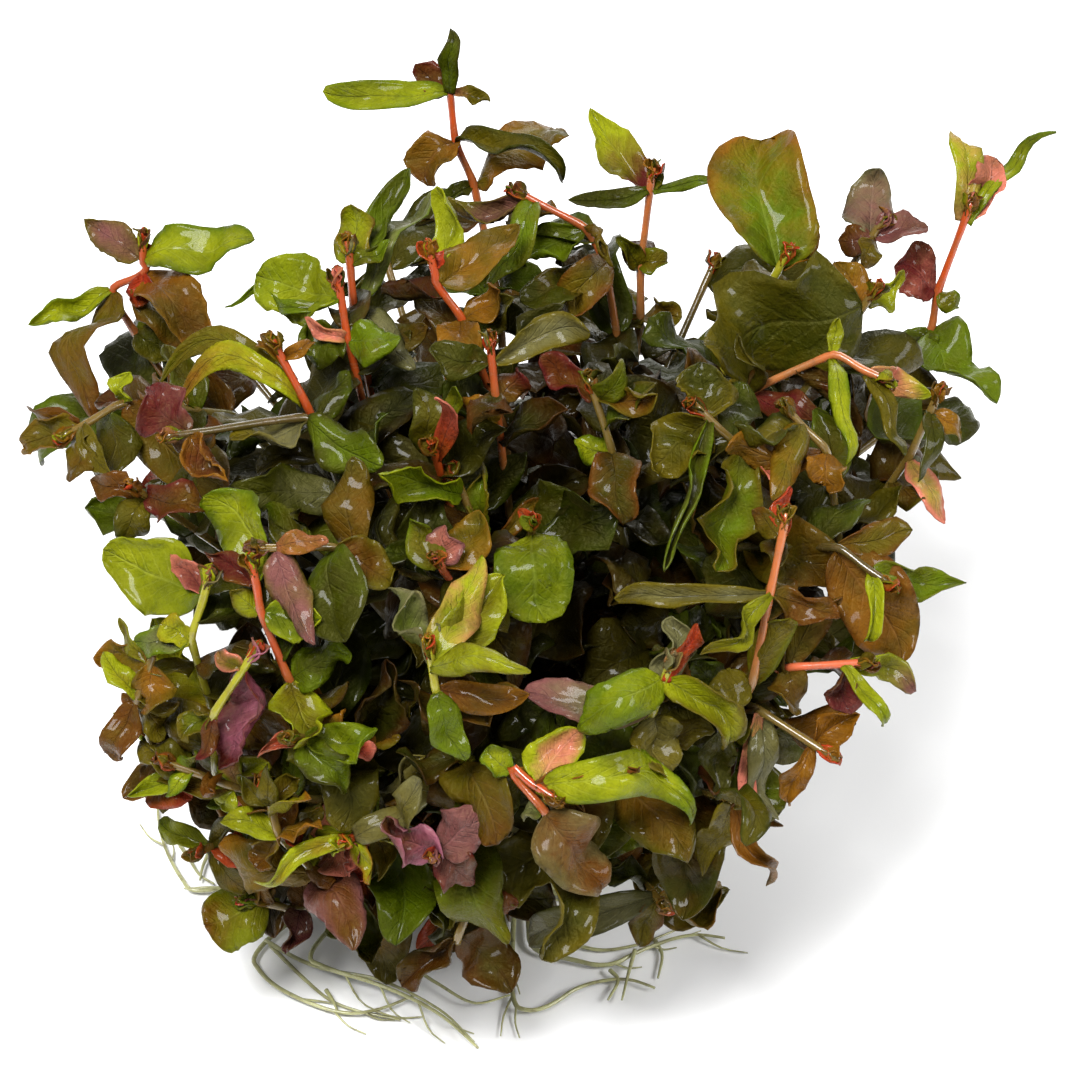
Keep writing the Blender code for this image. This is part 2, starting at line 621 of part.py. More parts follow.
class Stem:
    """A stem from its foot on the mat to its tip, and the leaves that grow at its joints."""

    def __init__(self, foot, heads, rise, lean):
        first = heads[0]
        onward = heads[1] - first if len(heads) > 1 else first - LEAN_FROM
        onward = (onward.normalized() + ARRIVE_UP).normalized()
        reach = (first - foot).length
        aside = Vector((-first.y, first.x, 0)).normalized() * (lean * reach)
        above = foot + Vector((0, 0, rise * reach)) + aside
        before = first - onward * (ARRIVE_RUN * reach)
        run = interpolate_bezier(foot, above, before, first, RUN_POINTS)
        self.path = run + heads[1:]
        self.heads = range(RUN_POINTS - 1, len(self.path))
        self.bare = [RUN_POINTS - 2] if reach < LONG_REACH else [RUN_POINTS - 3, RUN_POINTS - 2]
        self.sides = {}
        self.blades = {}

    def way(self, index):
        """Which way the stem runs at a point of its path."""
        before = self.path[max(index - 1, 0)]
        after = self.path[min(index + 1, len(self.path) - 1)]
        return (after - before).normalized()

    def radius(self, index):
        return STEM_RADIUS * (1 - STEM_TAPER * index / (len(self.path) - 1))

    def turn_joint(self, index, towards):
        """Turns the four flat faces of a joint so that one of them looks towards its first leaf."""
        way = self.way(index)
        side = (towards - way * towards.dot(way)).normalized()
        self.sides[index] = [side, way.cross(side), -side, -way.cross(side)]
        self.blades[index] = []

    def base_for(self, index, tip):
        """The free face of a joint that looks most towards a leaf's tip, and its middle."""
        point = self.path[index]
        side = max(self.sides[index], key=(tip - point).dot)
        return side, point + side * (self.radius(index) * math.sqrt(0.5))

    def grow(self, index, side, blade):
        self.sides[index].remove(side)
        blade.side = side
        self.blades[index].append(blade)

    def shape(self, spare=0.0):
        """Corners and triangles of the stem with its bud, made thicker by a gap all round."""
        side = Vector((1, 0, 0))
        last = len(self.path) - 1
        rings = [square(point, self.way(index), side, self.radius(index) + spare)
                 for index, point in enumerate(self.path)]
        top = self.path[last] + self.way(last) * (JOINT_HEIGHT / 2 + spare)
        rings.append(square(top, self.way(last), side, self.radius(last) + spare))
        return tube_faces(rings, top + self.way(last) * BUD_LENGTH)


def seen_heads(plan):
    """Where the joints of a shoot of the picture stand, from the lowest one seen to its tip."""
    places = [entry["place"] for entry in plan["joints"]]
    top = canopy_depth(places[-1]) + plan["lift"]
    return [picture_point(place, top - DIP * PIXEL * math.dist(place, places[-1])) for place in places]


def back_heads(azimuth, elevation):
    """Where the upper joints of a shoot behind stand, the last one at the canopy."""
    azimuth, elevation = math.radians(azimuth), math.radians(elevation)
    flat = math.cos(elevation)
    unit = Vector((math.cos(azimuth) * flat, math.sin(azimuth) * flat, math.sin(elevation)))
    tip = CANOPY_MIDDLE + unit * CANOPY_RADII * BACK_REACH
    onward = (tip - LEAN_FROM).normalized()
    return [tip - onward * (INTERNODE * step) for step in (2, 1, 0)]


def foot_places(heads):
    """A place on the mat for each stem, under where it leans, none closer than a stem's spacing."""
    feet = [Vector((head.x, head.y)) * (FEET_RADIUS / CANOPY_RADII.x) for head in heads]
    for _ in range(SPREAD_ROUNDS):
        for a in range(len(feet)):
            for b in range(a):
                apart = feet[a] - feet[b]
                short = max(STEM_SPACING - apart.length, 0) / 2
                feet[a] += apart.normalized() * short
                feet[b] -= apart.normalized() * short
        for foot in feet:
            foot.length = min(foot.length, FEET_RADIUS)
    return [Vector((foot.x, foot.y, MAT_HEIGHT + GAP + STEM_RADIUS)) for foot in feet]


def plant_stem(crowd, name, foot, heads):
    """The first way of bending a stem up from its foot that keeps it clear of the others."""
    for push, step, rise, lean in itertools.product(HEAD_PUSHES, FOOT_STEPS, RISES, LEANS):
        pushed = [head + TOWARD * push for head in heads]
        stem = Stem(foot + Vector((*step, 0)) * STEM_SPACING, pushed, rise, lean)
        if not crowd.hits(stem.shape(GAP)):
            crowd.add(name, stem.shape())
            return stem
    return None


def blade_shape(blade, shares, spare=0.0):
    """Corners and triangles of a leaf as it will be built, made larger by a gap all round."""
    tip = blade.base + blade.chord * (1 + spare / blade.chord.length)
    return tube_faces([blade.ring(share, spare=spare) for share in shares], tip)


def fits(crowd, name, blade, shares):
    """Whether a leaf stays over the ground and clear of other shoots and of its own."""
    shape = blade_shape(blade, (BASE_SHARE, *shares), GAP)
    if min(corner.z for corner in shape[0]) < GROUND_GAP or crowd.hits(shape, name):
        return False
    return not crowd.hits_own(blade_shape(blade, shares, OWN_GAP), name)


def add_leaf(crowd, name, stem, index, choices, width, habit, shares):
    """Grows a leaf at a joint in the first of its choices, tip and roll, that finds room, if any does."""
    for tip, roll in choices:
        side, base = stem.base_for(index, tip)
        if (tip - base).dot(side) < 0:
            continue
        blade = Blade(base, tip, width, habit, roll)
        if fits(crowd, name, blade, shares):
            blade.shares = shares
            stem.grow(index, side, blade)
            crowd.add(name, blade_shape(blade, (BASE_SHARE, *shares)), blade_shape(blade, shares))
            return


def seen_choices(joint_depth, place, plan):
    """Tips on the line of sight of a leaf's tip, nearest to the canopy first, and rolls for each."""
    run = PIXEL * math.dist(plan["tip"], place)
    change = canopy_depth(plan["tip"]) - joint_depth
    depth = joint_depth + max(-STEEPEST * run, min(STEEPEST * run, change)) + plan["lift"]
    for shift in DEPTH_SHIFTS:
        for roll in ROLLS:
            yield picture_point(plan["tip"], depth + shift), math.radians(roll)


def rule_choices(stem, index, turn, length):
    """Tips for a leaf that no picture shows: up and out from its joint, turned or shorter for room."""
    way = stem.way(index)
    side = (RIGHT - way * RIGHT.dot(way)).normalized()
    other = way.cross(side)
    for share, extra in itertools.product(RULE_SHORTER, RULE_TURNS):
        angle = math.radians(turn + extra)
        out = side * math.cos(angle) + other * math.sin(angle)
        reach = (out * RULE_OUT + way * RULE_ONWARD + RULE_SAG) * (length * share)
        if seen_within(stem.path[index] + reach) and seen_within(stem.path[index] + reach / 2):
            yield stem.path[index] + reach, 0.0


def grow_seen_leaves(crowd, name, stem, plan):
    for index, entry in zip(stem.heads, plan["joints"]):
        depth = stem.path[index].dot(TOWARD)
        first = next(seen_choices(depth, entry["place"], entry["leaves"][0]))[0]
        stem.turn_joint(index, first - stem.path[index])
        for item in entry["leaves"]:
            shares = WIDE_RINGS if item["width"] > WIDE_LEAF_PX else SMALL_RINGS
            width = item["width"] * PIXEL * SEEN_SCALE
            choices = seen_choices(depth, entry["place"], item)
            add_leaf(crowd, name, stem, index, choices, width, item["habit"], shares)


def grow_rule_leaves(crowd, name, stem, indices, shares, chance):
    """A pair of leaves at each joint, each pair across the one below it."""
    for index in indices:
        turn = chance.uniform(0, PAIR_UNEVEN) + PAIR_TURN * (index % 2)
        length = chance.uniform(*RULE_LENGTH)
        habit = chance.choice(RULE_HABITS)
        first, second = (list(rule_choices(stem, index, turn + half, length)) for half in (0, 180))
        if not first + second:
            continue
        stem.turn_joint(index, (first + second)[0][0] - stem.path[index])
        for choices in (first, second):
            add_leaf(crowd, name, stem, index, choices, length * RULE_WIDTH, habit, shares)


def start_tube(bm, first, second):
    """A closed length of tube between two rings of four. Returns its upper end face."""
    vertices = bmesh.ops.create_cube(bm, size=2)["verts"]
    bm.normal_update()
    top = max(bm.faces, key=lambda face: face.normal.z)
    for vertex in vertices:
        ring = second if vertex.co.z > 0 else first
        vertex.co = ring[QUARTERS.index((round(vertex.co.x), round(vertex.co.y)))]
    return top


def pull(bm, face, ring):
    """Pulls an end face out to the next ring, each corner to the place that turns the tube least."""
    end = bmesh.ops.extrude_discrete_faces(bm, faces=[face])["faces"][0]
    corners = list(end.verts)

    def travel(turn):
        return sum((vertex.co - ring[(i + turn) % 4]).length for i, vertex in enumerate(corners))

    turn = min(range(4), key=travel)
    mids = []
    for i, vertex in enumerate(corners):
        place = (i + turn) % 4
        vertex.co = ring[place]
        if place % 2:
            mids.append(vertex)
    return end, mids


def split_sides(bm, end, mids):
    """Splits the four sides behind a blade's ring from its margins, alike on both faces of the blade."""
    for edge in list(end.edges):
        side = next(face for face in edge.link_faces if face is not end)
        mid, margin = edge.verts if edge.verts[0] in mids else reversed(edge.verts)
        behind = next(e.other_vert(margin) for e in margin.link_edges if e in side.edges and e is not edge)
        bmesh.utils.face_split(side, mid, behind)


def point_end(bm, face, tip):
    bmesh.ops.poke(bm, faces=[face])["verts"][0].co = tip


def build_shoot(stem):
    """One solid: the stem drawn up ring by ring, then each leaf drawn out of a side of its joint."""
    bm = bmesh.new()
    top = None
    last_ring = None
    side = Vector((1, 0, 0))
    grown = []
    for index, point in enumerate(stem.path):
        way = stem.way(index)
        if index in stem.blades:
            side = stem.blades[index][0].side if stem.blades[index] else side
            half = way * (JOINT_HEIGHT / 2)
            rings = [square(point + half * end, way, side, stem.radius(index)) for end in (-1, 1)]
        else:
            rings = [square(point, way, side, stem.radius(index))]
        for number, ring in enumerate(rings):
            if last_ring is None:
                last_ring = ring
                continue
            if top is None:
                top = start_tube(bm, last_ring, ring)
            else:
                top, _ = pull(bm, top, ring)
            if number == 1:
                sides = [face for edge in top.edges for face in edge.link_faces if face is not top]
                grown.append((sides, stem.blades[index]))
    point_end(bm, top, stem.path[-1] + way * (JOINT_HEIGHT / 2 + BUD_LENGTH))
    for sides, blades in grown:
        for blade in blades:
            face = min(sides, key=lambda item: (item.calc_center_median() - blade.base).length)
            sides.remove(face)
            for share in blade.shares:
                face, mids = pull(bm, face, blade.ring(share))
                split_sides(bm, face, mids)
            point_end(bm, face, blade.base + blade.chord)
    return bm


def finish(bm, name, tone):
    """Closes a mesh into triangles that face out, and gives it a name and a wet, glossy material."""
    bmesh.ops.triangulate(bm, faces=list(bm.faces))
    bmesh.ops.recalc_face_normals(bm, faces=list(bm.faces))
    mesh = bpy.data.meshes.new(name)
    bm.to_mesh(mesh)
    bm.free()
    material = bpy.data.materials.new(name)
    material.use_nodes = True
    shader = material.node_tree.nodes["Principled BSDF"]
    shader.inputs["Base Color"].default_value = (*tone, 1)
    shader.inputs["Roughness"].default_value = WET_ROUGHNESS
    shader.inputs["Metallic"].default_value = 0
    mesh.materials.append(material)
    item = bpy.data.objects.new(name, mesh)
    bpy.context.scene.collection.objects.link(item)
    return item


def build_mat():
    """The matted roots that the stems stand in: an uneven pad with a flat underside at the ground."""
    bm = bmesh.new()
    foot = MAT_RADIUS * MAT_FOOT
    bmesh.ops.create_cone(
        bm, cap_ends=True, segments=MAT_SIDES, radius1=foot, radius2=foot, depth=MAT_HEIGHT
    )
    bmesh.ops.translate(bm, verts=bm.verts, vec=(0, 0, MAT_HEIGHT / 2))
    bm.normal_update()
    face = max(bm.faces, key=lambda item: item.normal.z)
    for number, (radius, height) in enumerate(MAT_PROFILE):
        if number:
            face = bmesh.ops.extrude_discrete_faces(bm, faces=[face])["faces"][0]
        for vertex in face.verts:
            angle = math.atan2(vertex.co.y, vertex.co.x)
            uneven = 1 + sum(much * math.sin(often * angle + start) for often, much, start in MAT_SWELLS)
            reach = MAT_RADIUS * radius * uneven
            vertex.co = Vector((math.cos(angle) * reach, math.sin(angle) * reach, MAT_HEIGHT * height))
    return bm


def ground_point(pixel, height):
    """The point at a height over the ground that a pixel shows."""
    depth = 0.0
    for _ in range(3):
        depth += (height - picture_point(pixel, depth).z) / TOWARD.z
    return picture_point(pixel, depth)


def root_path(height, *pixels):
    """A loose root from the side of the mat along the ground, as smooth as a root lies."""
    seen = [ground_point(pixel, height * MM) for pixel in pixels]
    start = Vector((seen[0].x, seen[0].y, 0))
    start.length = MAT_RADIUS + ROOT_FROM_MAT
    start.z = height * MM
    return [start] + seen


def root_rings(path, spare=0.0):
    rings = []
    for index, point in enumerate(path):
        way = (path[min(index + 1, len(path) - 1)] - path[max(index - 1, 0)]).normalized()
        radius = ROOT_RADIUS * (1 - ROOT_TAPER * index / (len(path) - 1)) + spare
        rings.append(square(point, way, Vector((0, 0, 1)), radius))
    return rings


def build_root(path):
    bm = bmesh.new()
    rings = root_rings(path)
    top = start_tube(bm, rings[0], rings[1])
    for ring in rings[2:]:
        top, _ = pull(bm, top, ring)
    return bm


def build_clump():
    for item in list(bpy.data.objects):
        bpy.data.objects.remove(item)
    chance = random.Random(SEED)
    crowd = Crowd()

    mat = build_mat()
    mat.verts.index_update()
    corners = [vertex.co.copy() for vertex in mat.verts]
    crowd.add("root_mat", (corners, [[vertex.index for vertex in face.verts] for face in mat.faces]))
    finish(mat, "root_mat", MAT_TONE)
    for name, course in LOOSE_ROOTS.items():
        path = root_path(*course)
        crowd.add(name, tube_faces(root_rings(path)))
        finish(build_root(path), name, ROOT_TONE)

    names = list(SHOOTS) + [f"shoot_back_{number + 1}" for number in range(len(BACK_SHOOTS))]
    heads = [seen_heads(plan) for plan in SHOOTS.values()] + [back_heads(*lean) for lean in BACK_SHOOTS]
    tones = [plan["tone"] for plan in SHOOTS.values()] + list(BACK_TONES)
    feet = foot_places([points[0] for points in heads])
    stems = {
        name: plant_stem(crowd, name, foot, points) for name, foot, points in zip(names, feet, heads)
    }
    stems = {name: stem for name, stem in stems.items() if stem}
    for name, plan in SHOOTS.items():
        if name in stems:
            grow_seen_leaves(crowd, name, stems[name], plan)
    for name in names[len(SHOOTS):]:
        if name in stems:
            grow_rule_leaves(crowd, name, stems[name], list(stems[name].heads), SMALL_RINGS, chance)
    for name, stem in stems.items():
        grow_rule_leaves(crowd, name, stem, stem.bare, FILLER_RINGS, chance)
    for name, tone in zip(names, tones):
        if name in stems:
            finish(build_shoot(stems[name]), name, TONES[tone])


build_clump()
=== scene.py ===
"""Giant red rotala, as it comes out of its growing cup: wet, crinkled opposite leaves on rooted stems."""

import bisect
import math
import random

import bmesh
import bpy
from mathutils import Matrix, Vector, noise
from mathutils.bvhtree import BVHTree


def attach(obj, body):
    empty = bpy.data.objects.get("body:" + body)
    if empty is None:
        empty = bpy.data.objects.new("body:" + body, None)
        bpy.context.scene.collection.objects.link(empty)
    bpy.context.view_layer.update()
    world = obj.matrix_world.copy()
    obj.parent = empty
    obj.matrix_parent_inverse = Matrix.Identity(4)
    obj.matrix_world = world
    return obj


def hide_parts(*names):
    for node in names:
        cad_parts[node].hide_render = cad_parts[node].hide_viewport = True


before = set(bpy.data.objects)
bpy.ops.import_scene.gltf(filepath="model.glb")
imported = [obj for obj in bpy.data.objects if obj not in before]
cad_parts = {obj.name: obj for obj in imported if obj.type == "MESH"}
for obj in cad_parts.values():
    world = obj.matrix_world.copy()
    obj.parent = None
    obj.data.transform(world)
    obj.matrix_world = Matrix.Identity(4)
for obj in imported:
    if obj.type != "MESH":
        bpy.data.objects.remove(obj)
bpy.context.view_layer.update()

# The view of the clump. It is looked down on by 45 degrees from 450 mm away, with its foot below the
# middle of the picture, so any point of a plant can be found in the picture as a pixel of 1080. The clump
# is 1030 pixels wide, on the mean 425 mm away.
CLUMP_WIDTH = 0.090
PIXEL = CLUMP_WIDTH / 1030 * 450 / 425
VIEW_DISTANCE = 0.45
MIDDLE_PX = 540
FOOT_PX = (520, 775)
SLANT = math.sqrt(0.5)
RIGHT = Vector((1, 0, 0))
UP = Vector((0, SLANT, SLANT))
TOWARD = Vector((0, -SLANT, SLANT))
AIM = (RIGHT * (MIDDLE_PX - FOOT_PX[0]) + UP * (FOOT_PX[1] - MIDDLE_PX)) * PIXEL


def picture_point(pixel, depth):
    """The point that a pixel shows, this far towards the viewer from the clump's origin."""
    size = PIXEL * (VIEW_DISTANCE - depth) / VIEW_DISTANCE
    return AIM + (RIGHT * (pixel[0] - MIDDLE_PX) + UP * (MIDDLE_PX - pixel[1])) * size + TOWARD * depth


def pixel_of(point):
    """Where a point of the clump is seen."""
    depth = point.dot(TOWARD)
    seen = (point - AIM) / (PIXEL * (VIEW_DISTANCE - depth) / VIEW_DISTANCE)
    return MIDDLE_PX + seen.dot(RIGHT), MIDDLE_PX - seen.dot(UP)


camera = bpy.data.objects.new("view", bpy.data.cameras.new("view"))
bpy.context.scene.collection.objects.link(camera)
camera.location = AIM + TOWARD * VIEW_DISTANCE
camera.rotation_euler = (math.radians(45), 0, 0)
camera.data.sensor_width = 36
camera.data.lens = 18 * VIEW_DISTANCE / (MIDDLE_PX * PIXEL)
camera.data.clip_start = 0.01
bpy.context.scene.camera = camera

# The root mat. Every stem stands in one pad of matted white roots, the shape that the floor of the
# growing cup gave it: an uneven felt of fine roots, flat underneath, olive-white and wet.
MAT_RADIUS = 0.0165
MAT_HEIGHT = 0.0036
MAT_FIBRES = 260
FIBRE_RADIUS = 0.00017


class Value:
    """A socket of a material. Sums on it add Math nodes, and node() adds a node of any other kind."""

    def __init__(self, tree, socket=None):
        self.tree = tree
        self.socket = socket

    def node(self, kind, settings=None, sockets=None, output=0):
        made = self.tree.nodes.new(kind)
        for name, setting in (settings or {}).items():
            setattr(made, name, setting)
        for name, given in (sockets or {}).items():
            socket = made.inputs[name]
            if isinstance(given, Value):
                self.tree.links.new(given.socket, socket)
            elif socket.type == "RGBA":
                socket.default_value = (*given, 1)
            else:
                socket.default_value = given
        return Value(self.tree, made.outputs[output] if len(made.outputs) else None)

    def maths(self, operation, first, second=0.0, clamp=False):
        settings = {"operation": operation, "use_clamp": clamp}
        return self.node("ShaderNodeMath", settings, {0: first, 1: second})

    def __add__(self, other):
        return self.maths("ADD", self, other)

    def __sub__(self, other):
        return self.maths("SUBTRACT", self, other)

    def __mul__(self, other):
        return self.maths("MULTIPLY", self, other)

    def clamped(self):
        return self.maths("ADD", self, 0.0, clamp=True)

    def mix(self, first, second):
        """The first colour where this is 0, the second where it is 1."""
        settings = {"data_type": "RGBA"}
        return self.node("ShaderNodeMix", settings, {0: self, 6: first, 7: second}, 2)

    def grain(self, scale, detail=3.0, rough=0.55, warp=0.0):
        """Noise of this scale in the metres of the piece."""
        place = self.node("ShaderNodeTexCoord", output=3)
        sockets = {"Vector": place, "Scale": scale, "Detail": detail, "Roughness": rough, "Distortion": warp}
        return self.node("ShaderNodeTexNoise", None, sockets)

    def painted(self, name, output=0):
        """What is painted on the piece's own points."""
        return self.node("ShaderNodeAttribute", {"attribute_name": name}, None, output)

    def bump(self, height, strength, distance):
        sockets = {"Height": height, "Strength": strength, "Distance": distance}
        return self.node("ShaderNodeBump", None, sockets)


def wet_finish(name):
    """A new material, and the value that its nodes are made from."""
    material = bpy.data.materials.new(name)
    material.use_nodes = True
    material.node_tree.nodes.clear()
    return material, Value(material.node_tree)


def wet_surface(start, sockets):
    shader = start.node("ShaderNodeBsdfPrincipled", None, sockets)
    start.node("ShaderNodeOutputMaterial", None, {"Surface": shader})


def root_finish():
    """Wet root: off-white to olive, darker where old, with a fine grain."""
    material, start = wet_finish("wet_root")
    old = start.grain(420, 4)
    dark = ((old - 0.42) * 3.2).clamped()
    colour = dark.mix((0.36, 0.36, 0.17), (0.13, 0.12, 0.04))
    speck = ((start.grain(1900, 2) - 0.56) * 6).clamped()
    wet_surface(start, {
        "Base Color": (speck * 0.6).mix(colour, (0.10, 0.075, 0.03)),
        "Roughness": old * 0.25 + 0.16,
        "Coat Weight": 0.5,
        "Coat Roughness": 0.08,
        "Normal": start.bump(start.grain(2600, 3), 0.35, 0.0001),
    })
    return material


ROOT_FINISH = root_finish()


def smooth(marks, values, share):
    """A value read between marks, on the smooth line through them."""
    last = len(marks) - 1
    i = min(max(bisect.bisect_right(marks, share) - 1, 0), last - 1)
    span = marks[i + 1] - marks[i]

    def slope(k):
        before, after = max(k - 1, 0), min(k + 1, last)
        return (values[after] - values[before]) * (span / (marks[after] - marks[before]))

    t = (share - marks[i]) / span
    rise = t * t * (3 - 2 * t)
    ends = slope(i) * (t * (1 - t) * (1 - t)) - slope(i + 1) * (t * t * (1 - t))
    return values[i] * (1 - rise) + values[i + 1] * rise + ends


class Course:
    """A smooth line through points, read by the share of its length."""

    def __init__(self, points):
        self.points = points
        runs = [0.0]
        for a, b in zip(points, points[1:]):
            runs.append(runs[-1] + (b - a).length)
        self.length = runs[-1]
        self.marks = [run / self.length for run in runs]

    def at(self, share):
        return smooth(self.marks, self.points, share)

    def way(self, share):
        low, high = max(share - 0.01, 0), min(share + 0.01, 1)
        return (self.at(high) - self.at(low)).normalized()


def draw_tube(bm, course, radius, steps, sides, paint=None):
    """A round tube along a course: a grid rolled round it, its first and last rows drawn to a point."""
    side = course.way(0).cross(Vector((0.3, 0.2, 1))).normalized()
    rows = []
    for step in range(steps + 1):
        share = min(max((step - 1) / (steps - 2), 0), 1)
        way = course.way(share)
        side = (side - way * side.dot(way)).normalized()
        size = radius(share) if 0 < step < steps else 0
        rows.append((course.at(share), side * size, way.cross(side) * size, share))
    for vertex in bmesh.ops.create_grid(bm, x_segments=steps, y_segments=sides, size=1)["verts"]:
        middle, across, other, share = rows[round((vertex.co.x + 1) / 2 * steps)]
        angle = math.pi * vertex.co.y
        vertex.co = middle + across * math.cos(angle) + other * math.sin(angle)
        if paint:
            paint(vertex, share)


def settle(bm, name, finish, nodes=()):
    """Closes the seams of a mesh, turns it to face out, and makes it a piece that rides on the clump."""
    bmesh.ops.remove_doubles(bm, verts=list(bm.verts), dist=1e-7)
    bmesh.ops.recalc_face_normals(bm, faces=list(bm.faces))
    for face in bm.faces:
        face.smooth = True
    mesh = bpy.data.meshes.new(name)
    bm.to_mesh(mesh)
    bm.free()
    mesh.materials.append(finish)
    piece = bpy.data.objects.new(name, mesh)
    bpy.context.scene.collection.objects.link(piece)
    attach(piece, "root")
    if nodes:
        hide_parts(*nodes)


def build_mat():
    """The felt body of the mat, and fine roots that wind over its top and sides."""
    bm = bmesh.new()
    bmesh.ops.create_uvsphere(bm, u_segments=96, v_segments=40, radius=1)
    for vertex in bm.verts:
        angle = math.atan2(vertex.co.y, vertex.co.x)
        flat = math.hypot(vertex.co.x, vertex.co.y)
        uneven = 1 + 0.05 * math.sin(3 * angle + 1) + 0.03 * math.sin(7 * angle)
        reach = MAT_RADIUS * uneven * flat ** 0.35 if flat > 0.001 else 0
        height = MAT_HEIGHT * (0.5 + 0.5 * vertex.co.z)
        place = Vector((math.cos(angle) * reach * 0.94, math.sin(angle) * reach * 0.94, height))
        lump = noise.fractal(place * 420, 0.8, 2.1, 4) * 0.0005
        place.z = max(place.z + (lump - 0.0003) * min(height / 0.001, 1), 0)
        place.xy = place.xy * (1 + lump * 30)
        vertex.co = place
    chance = random.Random(11)
    for _ in range(MAT_FIBRES):
        angle = chance.uniform(0, 2 * math.pi)
        turn = chance.choice((-1, 1)) * chance.uniform(0.25, 0.8)
        out = chance.uniform(0.35, 0.97)
        points = []
        for step in range(7):
            angle += turn / 3
            out = min(max(out + chance.uniform(-0.09, 0.09), 0.15), 0.98)
            round_off = MAT_HEIGHT * (0.93 - 0.75 * max(out - 0.82, 0) / 0.16)
            height = max(round_off + chance.uniform(-0.0006, 0.0003), 0.0003)
            reach = MAT_RADIUS * out
            points.append(Vector((math.cos(angle) * reach, math.sin(angle) * reach, height)))
        thick = FIBRE_RADIUS * chance.uniform(0.6, 1.25)
        draw_tube(bm, Course(points), lambda share: thick * (1 - 0.4 * share), 22, 6)
    settle(bm, "root_felt", ROOT_FINISH, ["root_mat"])


build_mat()

# The loose roots. Pale olive roots half a millimetre thick run from the mat over the ground, with finer
# ones that branch off and cross them. Each lies on the ground and thins to a soft tip.
LOOSE_ROOT_RADIUS = 0.00025
FINE_ROOT_RADIUS = 0.00019
HAIR_RADIUS = 0.00012
LOOSE_ROOT_NAMES = ("root_left_front", "root_long", "root_right_front", "root_right", "root_left_side")
FINE_ROOTS = (
    ((180, 845), (190, 860), (200, 875), (214, 884)),
    ((210, 850), (203, 866), (200, 880)),
    ((265, 940), (300, 960), (330, 970), (380, 980), (440, 1010), (474, 1042)),
    ((270, 945), (300, 975), (330, 1000), (355, 1010), (400, 1020)),
    ((326, 990), (333, 1001), (338, 1012)),
    ((635, 950), (628, 975), (622, 1000)),
    ((655, 940), (662, 955), (658, 978)),
    ((610, 970), (618, 980), (608, 1000)),
    ((380, 940), (410, 965), (440, 985), (475, 1003), (510, 995)),
    ((560, 940), (600, 950), (640, 944), (676, 930)),
)


def ground_point(pixel, height):
    """The point at a height over the ground that a pixel shows."""
    depth = 0.0
    for _ in range(3):
        depth += (height - picture_point(pixel, depth).z) / TOWARD.z
    return picture_point(pixel, depth)


def welded(node):
    """A copy of a solid's mesh with its loose triangles joined."""
    bm = bmesh.new()
    bm.from_mesh(node.data)
    bmesh.ops.remove_doubles(bm, verts=list(bm.verts), dist=2e-6)
    bm.verts.index_update()
    return bm


def around(vertices):
    """The points next to these, without these."""
    return {edge.other_vert(vertex) for vertex in vertices for edge in vertex.link_edges} - set(vertices)


def in_order(vertices):
    """These points by their numbers, since a set gives them in a different order each run."""
    return sorted(vertices, key=lambda vertex: vertex.index)


def middle_of(vertices):
    return sum((vertex.co for vertex in in_order(vertices)), Vector()) / len(vertices)


def rings_from(bm, ring, passed):
    """The rings of four that follow one another along a solid tube, and their places."""
    rings = [ring]
    while len(ring) == 4:
        passed.update(ring)
        ring = list(around(ring) - passed)
        if len(ring) == 4:
            rings.append(ring)
    return rings


def root_course(name):
    """The line that a loose root's solid follows, from the mat outwards."""
    bm = welded(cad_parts[name])
    ends = [vertex for vertex in bm.verts if len(vertex.link_edges) <= 5]
    start = min(ends, key=lambda vertex: vertex.co.xy.length)
    near = sorted(bm.verts, key=lambda vertex: (vertex.co - start.co).length)[:4]
    points = [middle_of(ring) for ring in rings_from(bm, near, set())]
    bm.free()
    inside = points[0].copy()
    inside.xy = inside.xy * 0.86
    points.insert(0, inside)
    for _ in range(2):
        inner = [a * (1 - part) + b * part for a, b in zip(points, points[1:]) for part in (0.25, 0.75)]
        points = [points[0]] + inner[1:-1] + [points[-1]]
    return points


def build_roots():
    chance = random.Random(5)
    for name in LOOSE_ROOT_NAMES:
        course = Course(root_course(name))
        bm = bmesh.new()
        draw_tube(bm, course, lambda share: LOOSE_ROOT_RADIUS * (1.05 - 0.55 * share ** 1.5), 100, 10)
        for _ in range(4):
            share = chance.uniform(0.3, 0.92)
            start, way = course.at(share), course.way(share)
            side = Vector((-way.y, way.x, 0)) * chance.choice((-1, 1))
            run = chance.uniform(0.001, 0.003)
            hair = [start, start + (way * 0.7 + side * 0.4) * run, start + (way * 1.5 + side * 0.6) * run]
            hair[1].z = hair[2].z = 0.0003
            draw_tube(bm, Course(hair), lambda share: HAIR_RADIUS * (1 - 0.5 * share), 8, 6)
        settle(bm, name.replace("root_", "loose_"), ROOT_FINISH, [name])
    bm = bmesh.new()
    for number, pixels in enumerate(FINE_ROOTS):
        points = [ground_point(pixel, 0.0004 + 0.0003 * (number % 3)) for pixel in pixels]
        draw_tube(bm, Course(points), lambda share: FINE_ROOT_RADIUS * (1.1 - 0.6 * share), 30, 8)
    settle(bm, "fine_roots", ROOT_FINISH)


build_roots()

